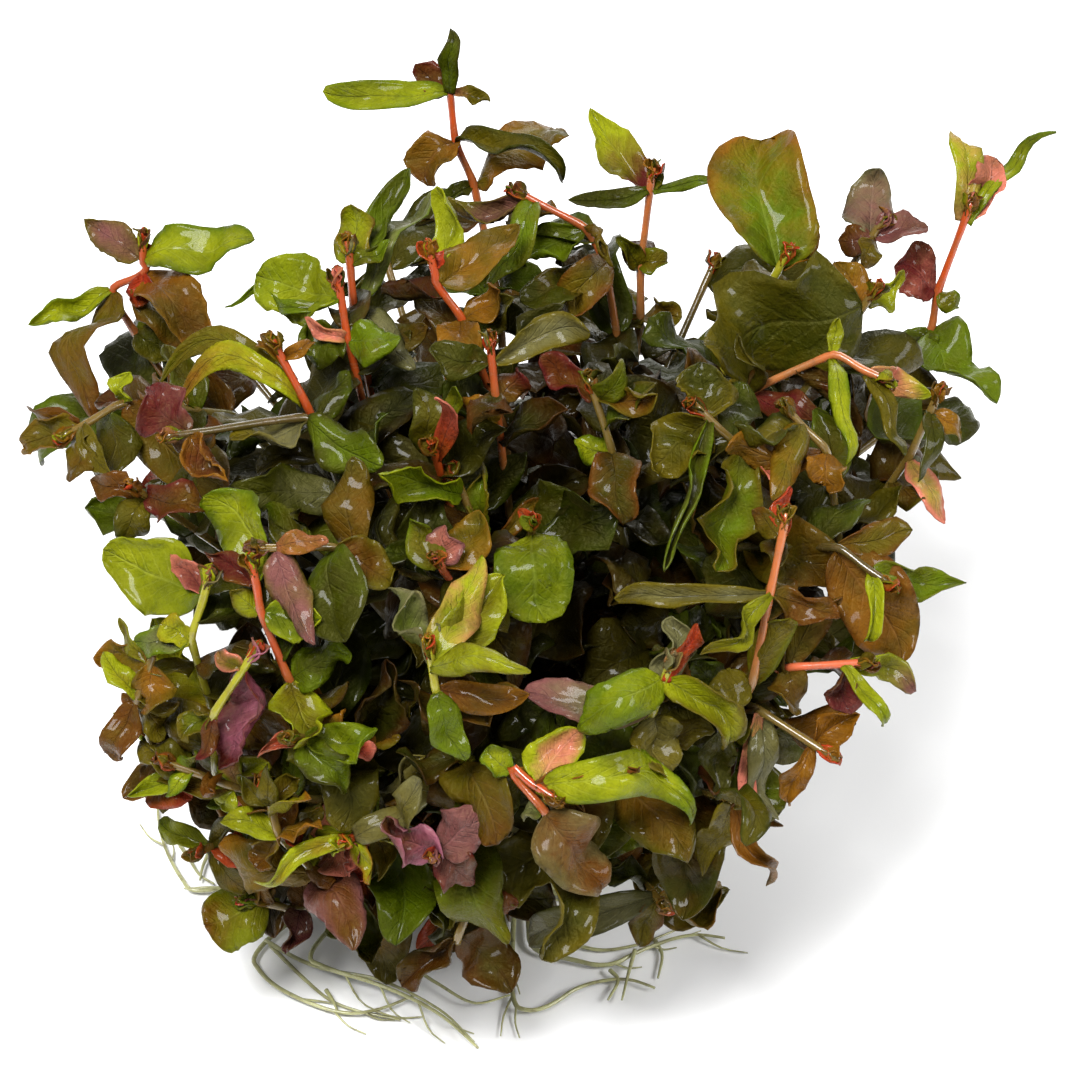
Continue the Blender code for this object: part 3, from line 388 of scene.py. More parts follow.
# The stems. Soft round stems a millimetre thick, swollen at each joint, olive-brown in the shade below
# and orange to red near their tips.
STEM_COLOURS = {
    "dark": ((0.07, 0.065, 0.015), (0.12, 0.075, 0.012)),
    "orange": ((0.176, 0.096, 0.024), (0.317, 0.043, 0.006)),
    "rust": ((0.13, 0.09, 0.02), (0.30, 0.05, 0.01)),
    "tan": ((0.20, 0.12, 0.035), (0.36, 0.10, 0.025)),
    "pink": ((0.22, 0.13, 0.04), (0.48, 0.10, 0.04)),
    "lime": ((0.13, 0.11, 0.01), (0.24, 0.23, 0.01)),
    "shaded": ((0.035, 0.032, 0.006), (0.055, 0.036, 0.006)),
}
SHOOT_STEMS = {
    "top": "orange", "arc": "rust", "red_bud": "orange", "spoon": "rust", "round_leaf": "orange",
    "curled_tip": "orange", "left_front": "orange", "spoon_low": "orange", "middle_bud": "orange",
    "pink_tip": "orange", "spoon_high": "tan", "right_tip": "orange", "right_bud": "tan",
    "middle_top": "rust", "orange_stem": "tan", "right_low_tip": "pink", "star": "lime",
    "right_star": "lime", "far_left": "rust", "mauve_leaf": "lime", "purple_knot": "rust",
    "pink_bud": "pink", "lime_wing": "lime", "tall_leaf": "lime", "wine_pair": "shaded",
    "orange_leaf": "shaded",
}
STEM_RADIUS = 0.00048
STEM_STEP = 0.0006
SWELLING_LENGTH = 0.0009


def stem_finish():
    """Soft wet stem, painted along its length, with fine streaks and a pale bloom."""
    material, start = wet_finish("wet_stem")
    streak = start.grain(900, 4, 0.6, 0.4)
    darker = ((streak - 0.45) * 3).clamped()
    tone = start.painted("tone")
    colour = (darker * 0.55).mix(tone, (0.10, 0.055, 0.02))
    wet_surface(start, {
        "Base Color": colour,
        "Roughness": streak * 0.3 + 0.1,
        "Subsurface Weight": 0.2,
        "Subsurface Radius": (0.001, 0.0006, 0.0003),
        "Subsurface Scale": 1.0,
        "Coat Weight": 0.3,
        "Coat Roughness": 0.06,
        "Normal": start.bump(start.grain(1800, 3), 0.3, 0.0001),
    })
    return material


STEM_FINISH = stem_finish()
SOLID_LEAF_THICKNESS = 0.00044


class Plant:
    """What a shoot's solid says: the line of its stem, and where each of its leaves lies."""

    def __init__(self, node):
        bm = welded(node)
        self.leaves = []
        leafy = set()
        bud = None
        for vertex in bm.verts:
            near = in_order(around([vertex]))
            if len(near) != 4:
                continue
            margins = [item for item in near if len(item.link_edges) == 4]
            mids = [item for item in near if item not in margins]
            thick = (mids[0].co - mids[1].co).length if len(margins) == 2 else 0
            if abs(thick - SOLID_LEAF_THICKNESS) < 2e-5:
                self.read_leaf(vertex, margins, mids, leafy)
                continue
            spans = sorted((a.co - b.co).length for a in near for b in near if a is not b)
            if spans[-1] < 0.001 and spans[-1] < spans[0] * 1.6:
                bud = vertex
        rings = rings_from(bm, list(around([bud])), leafy | {bud})
        self.path = [middle_of(ring) for ring in reversed(rings)] + [bud.co.copy()]
        bm.free()

    def read_leaf(self, tip, margins, mids, leafy):
        """A leaf's middle points and margins, ring by ring, from its tip down to the stem."""
        leafy.add(tip)
        left, right = margins
        upper, under = mids
        rows = []
        while True:
            leafy.update((left, right, upper, under))
            rows.append((left.co.copy(), (upper.co + under.co) / 2, right.co.copy()))
            behind = around([left, right, upper, under]) - leafy
            if len(behind) != 4:
                break
            left = next(iter(around([left]) & behind))
            right = next(iter(around([right]) & behind - {left}), None)
            rest = behind - {left, right}
            upper = next(iter(around([upper]) & rest), None)
            under = next(iter(rest - {upper}), None)
            if None in (right, upper, under):
                break
            if len(left.link_edges) > 6 or len(rows) == 3 or len(right.link_edges) > 6:
                rows.append((left.co.copy(), middle_of(behind), right.co.copy()))
                break
        self.leaves.append((tip.co.copy(), rows))


PLANTS = {
    name.removeprefix("shoot_"): Plant(node)
    for name, node in sorted(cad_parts.items())
    if name.startswith("shoot_")
}


def build_stem(name, shoot):
    """A stem, a little swollen at each joint, thinning to its tip."""
    course = Course(shoot.path)
    low, high = STEM_COLOURS[SHOOT_STEMS.get(name, "dark")]
    joints = [course.marks[i] for i in range(1, len(course.marks) - 1)]
    chance = random.Random(name)
    patchy = chance.uniform(0, 50)
    bm = bmesh.new()
    tone = bm.verts.layers.float_color.new("tone")

    def radius(share):
        ways = [(share - joint) * course.length / SWELLING_LENGTH for joint in joints]
        swell = max((math.exp(-(way ** 2)) for way in ways), default=0)
        return STEM_RADIUS * (1 - 0.35 * share) * (1 + 0.16 * swell)

    def paint(vertex, share):
        patch = noise.noise(vertex.co * 260 + Vector((patchy, 0, 0))) * 0.45
        rise = min(max((share - 0.62) / 0.3 + patch, 0), 1)
        vertex[tone] = [*(a + (b - a) * rise for a, b in zip(low, high)), 1]

    draw_tube(bm, course, radius, int(course.length / STEM_STEP), 12, paint)
    settle(bm, "stem_" + name, STEM_FINISH, ["shoot_" + name])


for name, shoot in PLANTS.items():
    build_stem(name, shoot)

# The leaves. Thin wet blades without stalks, in pairs, broad and pointed, with a pale midrib, bowed side
# veins and a waved margin. They roll, cup and twist as they dry, and are lime, olive, bronze or wine.
LEAF_THICKNESS = 0.00011
CAD_PROFILE_AT = {1: (0.5,), 2: (0.28, 0.74), 3: (0.16, 0.48, 0.84)}
LEAF_FULLER = 1.06
TONES = {
    "lime": (0.180, 0.195, 0.003),
    "green": (0.062, 0.090, 0.001),
    "moss": (0.022, 0.023, 0.001),
    "olive": (0.070, 0.052, 0.002),
    "amber": (0.145, 0.056, 0.003),
    "bronze": (0.070, 0.022, 0.002),
    "wine": (0.062, 0.006, 0.006),
    "mauve": (0.130, 0.046, 0.042),
    "violet": (0.21, 0.065, 0.095),
    "pink": (0.42, 0.12, 0.08),
    "red": (0.26, 0.022, 0.006),
    # silver: a pale grey green, partly the leaves' own greyish colour and partly painted sheen, the broad
    # light's reflection on wet leaves
    "silver": (0.095, 0.088, 0.036),
}
UNDERSIDE = (0.13, 0.09, 0.03)
# The colour that each runs into along its margin, at its tip or in its middle
BLUSHES = {
    "lime": ("green", "olive", "green", "amber"),
    "green": ("moss", "olive", "olive"),
    "moss": ("olive", "bronze", "green"),
    "olive": ("bronze", "amber", "moss", "green"),
    "amber": ("bronze", "olive", "red"),
    "bronze": ("wine", "amber", "olive"),
    "wine": ("bronze", "mauve", "pink"),
    "mauve": ("wine", "silver", "bronze"),
    "pink": ("mauve", "lime", "wine"),
    "red": ("bronze", "pink"),
    "silver": ("green", "olive"),
}
# Forms of leaves that stand out: how blunt, how far rolled and turned, which way their tips bend
FLAT = {"roll": (0.5, 0.2, 0.4), "turn": (0.3, 0.3, 0.5), "ruffle": 0.2, "hook": (0, 0)}
CUPPED = {"roll": (1.4, 0.2, 1.2), "turn": (0.4, 0.3, 0.5), "ruffle": 0.25, "hook": (0.2, 0)}
BLUNT = {**FLAT, "point": 0.4}
BROAD = {
    "point": 0.5, "roll": (0.5, 0.2, 0.3), "turn": (0.3, 0.3, 0.5), "ruffle": 0.15, "hook": (0.4, 0.2),
    "shade": 0.8,
}
DROOPED = {"point": 0.7, "roll": (0.6, 0.2, 0.5), "turn": (0.3, 0.3, 0.5), "hook": (0.3, 0.3)}
ROUND = {
    "point": 0.4, "roll": (0.7, 0.2, 0.3), "turn": (0.3, 0.3, 0.5), "ruffle": 0.12, "hook": (0.3, -0.4),
    "shade": 0.75,
}
HOOKED = {"point": 0.6, "roll": (0.9, 0.2, 0.5), "hook": (0.8, 1.0)}
ARCHED = {"point": 0.7, "roll": (1.0, 0.3, 0.4), "hook": (-0.6, 1.3), "ruffle": 0.2}
TALL = {
    "point": 0.42, "waves": 1.2, "ruffle": 0.25, "roll": (0.8, 0.3, 0.5), "turn": (0.5, 0.4, 1.0),
    "hook": (0, 0.6), "blush": (0.6, 0.5, -0.4),
}
BILLOWED = {
    "point": 0.85, "waves": 2.3, "ruffle": 0.45, "roll": (1.4, 0.5, 2.0), "fold": -0.3, "hook": (0.4, 0.5),
    "blush": (0.4, 0.5, -0.2),
}
BENT = {"point": 0.6, "roll": (1.2, 0.3, 1.5), "hook": (0.5, 0.3), "blush": (0.6, 0.2, 0.7)}
# Colour of each leaf by where its tip is seen, what it runs into, and its form where that stands out
LEAF_TONES = {
    "top": (
        (569, 136, "olive amber", {**CUPPED, "half_width": 0.003, "hook": (0, 1.8)}), (438, 196, "moss"),
        (562, 183, "olive", CUPPED),
        (428, 186, "amber", {**CUPPED, "half_width": 0.0024, "hook": (0, -1.2)}),
        (323, 92, "lime green", {**FLAT, "blush": (0.5, 0.1, 0.4), "hook": (0, 0.6)}),
        (490, 102, "olive pink"), (415, 64, "bronze"), (450, 29, "green"),
    ),
    "arc": (
        (520, 302, "moss"), (560, 332, "olive"), (520, 257, "green"), (614, 268, "bronze"),
        (445, 200, "mauve olive"), (484, 288, "green"),
    ),
    "red_bud": (
        (445, 380, "amber"), (500, 290, "amber"), (437, 186, "lime"), (520, 225, "amber olive"),
        (444, 250, "red"),
    ),
    "spoon": (
        (415, 370, "silver moss"), (437, 190, "silver", FLAT),
        (410, 168, "green moss", {**FLAT, "half_width": 0.0022}), (351, 204, "lime wine"),
        (391, 240, "green"),
    ),
    "round_leaf": (
        (300, 352, "moss"), (400, 338, "green wine"), (305, 318, "pink"), (256, 275, "lime green", BLUNT),
        (225, 307, "green"),
    ),
    "curled_tip": (
        (180, 400, "lime", {**FLAT, "hook": (0, -2)}), (160, 384, "olive", {**FLAT, "hook": (0, -2)}),
        (260, 345, "amber"), (312, 344, "amber"),
    ),
    "far_left": (
        (175, 362, "moss"), (170, 318, "olive"), (95, 422, "olive bronze"), (28, 325, "lime green", FLAT),
        (137, 308, "red wine", {**BLUNT, "half_width": 0.0014}), (217, 357, "bronze amber", CUPPED),
        (84, 219, "mauve olive", FLAT), (255, 240, "lime", FLAT), (146, 234, "wine"),
    ),
    "left_edge": (
        (230, 488, "olive bronze"), (131, 372, "lime"), (25, 447, "olive amber", CUPPED),
        (27, 406, "amber bronze", FLAT), (70, 482, "olive"), (112, 474, "olive"),
    ),
    "wine_pair": (
        (221, 500, "moss silver"), (230, 440, "silver olive"), (382, 466, "green"),
        (228, 482, "wine amber"), (146, 388, "wine mauve"),
    ),
    "left_dark": (
        (90, 480, "bronze"), (204, 512, "bronze"), (122, 542, "olive"),
    ),
    "left_front": (
        (312, 737, "olive lime"), (352, 655, "moss green"), (230, 590, "lime"), (322, 618, "green lime"),
        (205, 552, "wine"), (203, 496, "lime"),
    ),
    "lime_wing": (
        (134, 640, "silver"), (160, 624, "lime amber"), (103, 549, "lime green", BROAD),
        (171, 555, "wine"),
    ),
    "mauve_rim": (
        (346, 642, "moss green"), (392, 582, "bronze olive"), (328, 541, "amber pink"),
        (314, 645, "mauve olive"),
    ),
    "left_low": (
        (113, 760, "bronze olive"), (164, 740, "olive amber"), (93, 658, "olive amber"),
        (142, 714, "amber olive"), (119, 618, "olive lime"),
    ),
    "mauve_leaf": (
        (180, 738, "green olive"), (196, 760, "bronze wine"), (219, 770, "violet wine", DROOPED),
        (218, 652, "olive pink"),
    ),
    "low_lime": (
        (345, 877, "bronze pink"), (220, 806, "lime"), (228, 756, "pink"), (154, 790, "bronze"),
        (140, 742, "olive"), (127, 796, "lime"),
    ),
    "loops": (
        (275, 938, "moss"), (160, 820, "lime"), (256, 812, "olive"), (250, 882, "olive"),
    ),
    "bud_cluster": (
        (354, 950, "bronze mauve"), (219, 845, "olive amber"), (256, 868, "bronze"),
        (304, 852, "bronze red"), (240, 774, "olive"), (300, 778, "olive"), (268, 764, "olive"),
    ),
    "trilobe": (
        (378, 730, "green lime"), (346, 792, "green moss"), (312, 772, "olive green"),
    ),
    "spoon_low": (
        (396, 946, "green"), (254, 881, "lime"), (350, 876, "pink wine"), (420, 778, "olive silver"),
        (312, 850, "lime"),
    ),
    "purple_knot": (
        (386, 816, "wine violet"), (494, 818, "mauve wine"), (474, 882, "mauve"),
    ),
    "corner_leaf": (
        (372, 964, "green"), (352, 918, "green"), (286, 954, "mauve"), (300, 878, "bronze"),
        (205, 926, "lime amber", BLUNT), (246, 884, "olive"),
    ),
    "rolled_pair": (
        (479, 460, "green"), (540, 498, "olive"), (378, 474, "green lime"),
    ),
    "middle_bud": (
        (416, 388, "olive"), (456, 386, "olive"), (436, 398, "red"),
    ),
    "round_green": (
        (546, 622, "green lime", ROUND), (519, 510, "red"),
    ),
    "pink_bud": (
        (446, 526, "pink"), (480, 510, "olive"), (410, 518, "olive"),
    ),
    "star": (
        (530, 694, "bronze"), (466, 760, "green moss"), (482, 556, "lime pink"), (505, 575, "olive lime"),
        (388, 588, "green silver"), (531, 672, "lime olive"),
    ),
    "right_star": (
        (668, 774, "olive silver"), (524, 692, "silver mauve"), (578, 729, "green lime"),
        (722, 746, "lime olive", HOOKED), (672, 616, "silver olive"), (698, 624, "red"),
    ),
    "pink_tip": (
        (602, 888, "bronze silver"), (525, 812, "silver"), (486, 748, "lime"), (585, 812, "olive"),
        (582, 730, "pink lime"), (690, 824, "lime green", ARCHED), (640, 768, "amber wine"),
    ),
    "spoon_high": (
        (584, 300, "olive"), (612, 342, "olive"), (616, 238, "olive"), (666, 264, "olive"),
        (682, 318, "bronze"), (590, 108, "lime wine", {**CUPPED, "blush": (0.1, -0.5, 1.3)}),
        (568, 200, "moss", FLAT), (661, 160, "green"), (736, 175, "green"),
    ),
    "tall_leaf": (
        (762, 142, "green amber", TALL), (814, 220, "amber olive"),
    ),
    "big_leaf": (
        (704, 345, "moss olive", BILLOWED), (834, 262, "amber olive"), (904, 270, "lime olive"),
        (807, 333, "moss"),
    ),
    "mauve_top": (
        (880, 168, "mauve silver"), (838, 240, "bronze mauve"), (928, 228, "mauve wine", FLAT),
        (862, 266, "olive"),
    ),
    "right_tip": (
        (996, 404, "green olive", {**FLAT, "half_width": 0.003, "hook": (0, -1.4)}), (918, 354, "moss"),
        (894, 266, "wine", {**FLAT, "half_width": 0.0026, "hook": (0, -1.5)}), (958, 308, "olive green"),
        (996, 158, "pink amber"), (952, 134, "lime pink"), (1056, 132, "lime green"),
    ),
    "right_bud": (
        (836, 426, "wine bronze"), (716, 400, "olive"), (846, 464, "lime green"), (838, 318, "lime olive"),
        (932, 396, "pink lime"), (905, 456, "olive"),
    ),
    "right_side": (
        (944, 524, "lime pink", FLAT), (938, 488, "olive"), (918, 482, "moss"), (960, 442, "amber"),
    ),
    "right_inner": (
        (725, 450, "bronze"), (830, 494, "amber"), (732, 424, "olive"), (772, 500, "olive"),
    ),
    "rolled_dark": (
        (716, 572, "green"), (790, 486, "red"), (664, 572, "moss green"), (652, 470, "moss olive"),
        (700, 362, "moss"),
    ),
    "middle_right": (
        (622, 524, "moss"), (574, 440, "lime"), (658, 394, "bronze"), (622, 360, "green"),
        (540, 356, "bronze wine"),
    ),
    "middle_top": (
        (520, 372, "bronze wine"), (470, 430, "olive"), (590, 332, "silver olive"), (428, 350, "moss"),
    ),
    "orange_stem": (
        (790, 618, "olive green"), (708, 690, "olive"), (614, 598, "silver olive"), (700, 655, "lime"),
        (840, 618, "bronze olive"), (790, 486, "red"), (752, 510, "olive"),
    ),
    "orange_leaf": (
        (902, 664, "amber bronze", BENT), (912, 530, "olive bronze"), (966, 583, "green olive"),
        (866, 640, "lime"),
    ),
    "right_low_tip": (
        (796, 716, "bronze"), (842, 596, "olive bronze"), (850, 714, "wine mauve"),
        (916, 690, "lime mauve"), (882, 726, "lime green", FLAT),
    ),
    "right_low": (
        (778, 820, "silver"), (754, 822, "pink"), (860, 714, "amber bronze"), (790, 802, "amber bronze"),
    ),
    "low_right": (
        (702, 876, "olive"), (746, 846, "olive"), (766, 886, "bronze amber"),
    ),
    "bottom_right": (
        (722, 888, "olive amber", {**FLAT, "half_width": 0.0024, "hook": (0, -1.6)}),
        (530, 938, "silver moss"), (640, 946, "olive bronze"),
    ),
    "bottom": (
        (402, 986, "bronze moss"), (512, 992, "bronze moss"), (428, 914, "moss"),
        (518, 904, "bronze wine"),
    ),
}
YOUNG_TONES = ("olive", "lime", "amber", "olive", "green", "red", "lime", "bronze")
HIDDEN_TONES = ("moss", "olive", "moss", "olive", "bronze", "green", "amber", "moss", "olive", "moss")
SLOT_OF = {"lime": "leaves_green", "green": "leaves_green", "moss": "leaves_green",
           "silver": "leaves_green", "olive": "leaves_olive", "amber": "leaves_olive"}


def leaf_finish():
    """A wet, thin leaf: painted colours that run into each other, veins and a quilted skin."""
    material, start = wet_finish("wet_leaf")
    place = start.node("ShaderNodeUVMap", {"uv_map": "blade"})
    along = start.node("ShaderNodeSeparateXYZ", None, {"Vector": place})
    across = Value(start.tree, along.socket.node.outputs[1])
    from_rib = start.maths("ABSOLUTE", across * 2 - 1)
    cloud = start.grain(330, 4, 0.6, 0.3)
    fold = start.grain(850, 3, 0.6, 0.8)
    fine = start.grain(1500, 3, 0.6)
    crinkle = start.grain(2600, 4, 0.65, 0.6)
    rim = (start.painted("rim", 2) + (cloud - 0.5) * 1.6).clamped()
    colour = rim.mix(start.painted("tone"), start.painted("blush"))
    patch = ((start.grain(210, 3) - 0.46) * 4).clamped()
    colour = (patch * 0.6).mix(colour, (0.028, 0.026, 0.002))
    midrib = ((from_rib * -14) + 1).clamped()
    bows = start.maths("SINE", (along * 11 - from_rib * 2.6) * (2 * math.pi))
    veins = (bows * 3 - 2).clamped() * ((from_rib * -1.1) + 1).clamped()
    vein = start.maths("MAXIMUM", midrib, veins * 0.6)
    pale = start.node("ShaderNodeHueSaturation", None, {"Value": 1.75, "Saturation": 0.9, "Color": colour})
    colour = (vein * 0.5).mix(colour, pale)
    deep = start.node("ShaderNodeHueSaturation", None, {"Value": 0.55, "Saturation": 1.05, "Color": colour})
    colour = (((crinkle - 0.5) * 3).clamped() * 0.6).mix(colour, deep)
    height = cloud * 0.6 + fold * 0.8 + fine * 0.4 + crinkle * 0.4 - vein * 0.4
    wet_surface(start, {
        "Base Color": colour,
        "Roughness": fine * 0.35 + 0.2,
        "Specular IOR Level": 0.13,
        "Specular Tint": (0.85, 0.8, 0.3),
        "Coat Weight": 0.12,
        "Coat Roughness": 0.09,
        "Normal": start.bump(height, 1.0, 0.0003),
    })
    return material


LEAF_FINISH = leaf_finish()


def fullness(share, point):
    """Width of a blade along it, against its widest place. Point is how sharp its tip is."""
    widest = 0.5 / (0.5 + point)
    return (share ** 0.5 * (1 - share) ** point) / (widest ** 0.5 * (1 - widest) ** point)


class Blade:
    """Where one leaf lies: its middle line, which way it spreads, how it curls, and its half width."""

    def __init__(self, spine, sides, curls, half_width, tones, chance, shade=1.0):
        self.course = Course(spine)
        self.sides = sides
        self.curls = curls
        self.half_width = half_width
        self.tones = tones
        self.shade = shade
        self.waves = chance.uniform(0.8, 1.9)
        self.phases = (chance.uniform(0, 6.3), chance.uniform(0, 6.3))
        self.ruffle = chance.uniform(0.15, 0.5)
        self.fold = chance.uniform(-0.35, 0.6)
        self.seed = chance.uniform(0, 90)
        self.blush = (chance.uniform(-0.5, 1.1), chance.uniform(-0.6, 1.2), chance.uniform(-0.3, 0.8))
        self.roll = (chance.uniform(0.4, 2.6), chance.uniform(0.15, 0.5), chance.uniform(0, 6.3))
        self.sway = (chance.uniform(0.03, 0.12), chance.uniform(0.7, 1.5), chance.uniform(0, 6.3))
        self.turn = (chance.uniform(0.2, 1.1), chance.uniform(0.3, 1.0), chance.uniform(0, 6.3))
        self.uneven = (chance.uniform(0.02, 0.08), chance.uniform(0.6, 1.4))
        self.point = chance.uniform(0.4, 0.8)
        self.hook = (chance.uniform(-1.1, 1.1), chance.uniform(-0.7, 0.7))

    def row(self, share):
        """The blade's middle at a share of its length, the ways across and out, half width and curl."""
        middle, way = self.course.at(share), self.course.way(share)
        side = smooth(self.course.marks, self.sides, share)
        side = (side - way * side.dot(way)).normalized()
        out = side.cross(way)
        reach, pace, start = self.turn
        angle = reach * share * math.sin(2 * math.pi * pace * share + start)
        level, upright = math.cos(angle), math.sin(angle)
        side, out = side * level + out * upright, out * level - side * upright
        reach, pace, start = self.sway
        lift = reach * self.course.length * 4 * share * (1 - share)
        middle = middle + out * (lift * math.sin(2 * math.pi * pace * share + start))
        reach, aside = self.hook
        bow = (max(share - 0.45, 0) ** 2 - 0.3 * share) * self.course.length
        middle = middle + out * (reach * bow) + side * (aside * bow)
        reach, pace, start = self.roll
        curl = smooth(self.course.marks, self.curls, share)
        curl += reach * share ** 0.6 * math.sin(2 * math.pi * pace * share + start)
        curl = math.copysign(max(min(abs(curl), 5.0), 0.02), curl)
        half = max(self.half_width * fullness(share, self.point), 0.0004 * (1 - share) + 0.00005)
        return middle, side, out, half, curl

    def spot(self, row, share, over, detail=True):
        """A point of the blade: share of the way to its tip, and over from one margin to the other."""
        middle, side, out, half, curl = row
        if detail:
            reach, pace = self.uneven
            half = half * (1 + reach * math.sin(2 * math.pi * pace * share + self.phases[over < 0]))
        angle = curl / 2 * over
        radius = half / (curl / 2)
        point = middle + side * (radius * math.sin(angle)) + out * (radius * (1 - math.cos(angle)))
        if detail:
            face = out * math.cos(angle) - side * math.sin(angle)
            wave = math.sin(2 * math.pi * self.waves * share + self.phases[over > 0])
            rise = self.ruffle * wave * abs(over) ** 1.8 + self.fold * abs(over)
            rise += 0.28 * noise.noise(Vector((share * 2.8, over * 1.4, self.seed)))
            rise += 0.12 * noise.noise(Vector((share * 9, over * 5, self.seed)))
            rise += 0.05 * math.sin(2 * math.pi * (7 * share - 1.6 * abs(over))) * min(abs(over) * 2, 1)
            rise -= 0.05 * math.exp(-(over / 0.13) ** 2)
            point = point + face * (rise * half)
        return point


def solid_blade(tip, rows, tones, chance, shade):
    """The blade that a solid leaf's rings say."""
    base, *rings = rows[::-1]
    spine = [base[1]] + [ring[1] for ring in rings] + [tip]
    sides, curls, halves = [], [], []
    shares = CAD_PROFILE_AT[len(rings)]
    course = Course(spine)
    middle = spine[len(spine) // 2]
    facing = (middle - Vector((0, 0, 0.01))).normalized() + TOWARD * 0.4 + Vector((0, 0, 0.5))
    turned = None
    for number, (left, centre, right) in enumerate(rings):
        side = (right - left).normalized()
        if sides and side.dot(sides[-1]) < 0:
            side = -side
        sides.append(side)
        a, b = left - centre, right - centre
        bend = max(math.pi - a.angle(b), 0.02)
        half = (a.length + b.length) / 2 * (bend / 2) / math.sin(bend / 2)
        way = course.way(course.marks[number + 1])
        curls.append(math.copysign(2 * bend, (a + b).dot(side.cross(way))))
        halves.append(half / math.sin(math.pi * shares[number] ** 0.72) ** 0.62)
    number = len(rings) // 2
    way = course.way(course.marks[number + 1])
    if sides[number].cross(way).dot(facing) < 0:
        sides = [-side for side in sides]
        curls = [-curl for curl in curls]
    sides = [sides[0]] + sides + [sides[-1]]
    curls = [curls[0]] + curls + [curls[-1]]
    return Blade(spine, sides, curls, max(halves) * LEAF_FULLER, tones, chance, shade)


def free_blade(base, out, face, length, half_width, bend, curl, tones, chance, shade=1.0):
    """A blade that grows from base along out, its upper side to face, bowed along it by bend."""
    face = (face - out * face.dot(out)).normalized()
    side = out.cross(face)
    spine = [base + (out * t + face * (bend * (t - t * t))) * length for t in (0, 0.3, 0.65, 1)]
    turn = chance.uniform(-0.5, 0.5)
    sides = [side * math.cos(turn * t) + face * math.sin(turn * t) for t in (0, 0.5, 1, 1.5)]
    return Blade(spine, sides, [curl] * 4, half_width, tones, chance, shade)


def mixed(first, second, share):
    return [a + (b - a) * share for a, b in zip(first, second)]


class Foliage:
    """The leaves of one shoot, gathered in one mesh and given their thickness together."""

    def __init__(self):
        self.bm = bmesh.new()
        self.bm.loops.layers.uv.new("blade")
        layers = self.bm.verts.layers
        self.tone = layers.float_color.new("tone")
        self.blush = layers.float_color.new("blush")
        self.rim = layers.float.new("rim")
        self.out = layers.float_vector.new("out")
        self.rest = layers.float_vector.new("rest")
        self.shade = layers.float.new("shade")

    def add(self, blade, long, wide):
        rows = []
        for step in range(long + 1):
            share = step / long
            share = share * 0.45 + (0.5 - 0.5 * math.cos(math.pi * share)) * 0.55
            rows.append((share, blade.row(share)))
        # Both colours are darkened by the blade's painted shade.
        first, second = ([part * blade.shade for part in TONES[tone]] for tone in blade.tones)
        made = bmesh.ops.create_grid(self.bm, x_segments=long, y_segments=wide, size=1, calc_uvs=True)
        edge, end, foot = blade.blush
        for vertex in made["verts"]:
            share, row = rows[round((vertex.co.x + 1) / 2 * long)]
            over = vertex.co.y
            vertex.co = blade.spot(row, share, over)
            vertex[self.out] = row[2]
            vertex[self.rest] = vertex.co
            vertex[self.shade] = blade.shade
            vertex[self.tone] = [*first, 1]
            vertex[self.blush] = [*second, 1]
            vertex[self.rim] = 0.12 + edge * abs(over) ** 3 + end * share ** 3 + foot * (1 - share) ** 3

    def finish(self, name, slot, nodes=()):
        bmesh.ops.solidify(self.bm, geom=list(self.bm.faces), thickness=LEAF_THICKNESS)
        for vertex in self.bm.verts:
            lower = (vertex.co - Vector(vertex[self.rest])).dot(Vector(vertex[self.out]))
            if lower < -LEAF_THICKNESS / 4:
                for layer in (self.tone, self.blush):
                    colour = vertex[layer][:3]
                    # The underside's colour is darkened by the same painted shade.
                    pale = [part * vertex[self.shade] for part in UNDERSIDE]
                    vertex[layer] = [*mixed(colour, pale, 0.3), 1]
        self.bm.verts.layers.float_vector.remove(self.bm.verts.layers.float_vector["rest"])
        self.bm.verts.layers.float_vector.remove(self.bm.verts.layers.float_vector["out"])
        self.bm.verts.layers.float.remove(self.bm.verts.layers.float["shade"])
        settle(self.bm, name, LEAF_FINISH, nodes)


CANOPY_MIDDLE = Vector((0, 0, 0.03))
CANOPY_RADII = (0.046, 0.037, 0.029)
# How close to a listed tip a leaf's own tip is seen, in pixels, to be that leaf
SAME_TIP_PX = 25
# Open places between the upper shoots as they are seen, where no lower leaf grows: middle and radius
OPEN_PLACES = ((688, 257, 52), (340, 228, 44), (258, 395, 36), (270, 330, 36), (943, 539, 36),
               (977, 353, 30), (969, 448, 28), (798, 172, 22), (190, 284, 22), (470, 130, 20))


def reach_of(point):
    """How far out of the clump a point is: 0 in its middle, 1 at the canopy."""
    return Vector(a / b for a, b in zip(point - CANOPY_MIDDLE, CANOPY_RADII)).length


def inner_shade(tip):
    """Darker leaves inside the clump and low in it: older leaves, with painted shade as less light reaches
    them.
    """
    return min(max(reach_of(tip) * 1.6 - 0.85, 0.25), 0.85) * min(max(tip.z / 0.02, 0.6), 1.0)


def leaf_look(name, tip, chance):
    """Main colour and blush of a leaf, its painted shade and its own form, from where its tip is seen."""
    seen = pixel_of(tip)
    near = min(LEAF_TONES.get(name, ()), key=lambda item: math.dist(item[:2], seen), default=None)
    form = {}
    if near and math.dist(near[:2], seen) < SAME_TIP_PX:
        # A seen leaf low in the clump is painted darker, down to 0.45 near the foot: painted shade, as less
        # light falls there.
        names, shade = near[2].split(), min(max(tip.z / 0.024, 0.45), 1.0)
        form = near[3] if len(near) > 3 else {}
    else:
        names, shade = [chance.choice(HIDDEN_TONES)], inner_shade(tip)
    return (names if len(names) == 2 else [names[0], chance.choice(BLUSHES[names[0]])]), shade, form


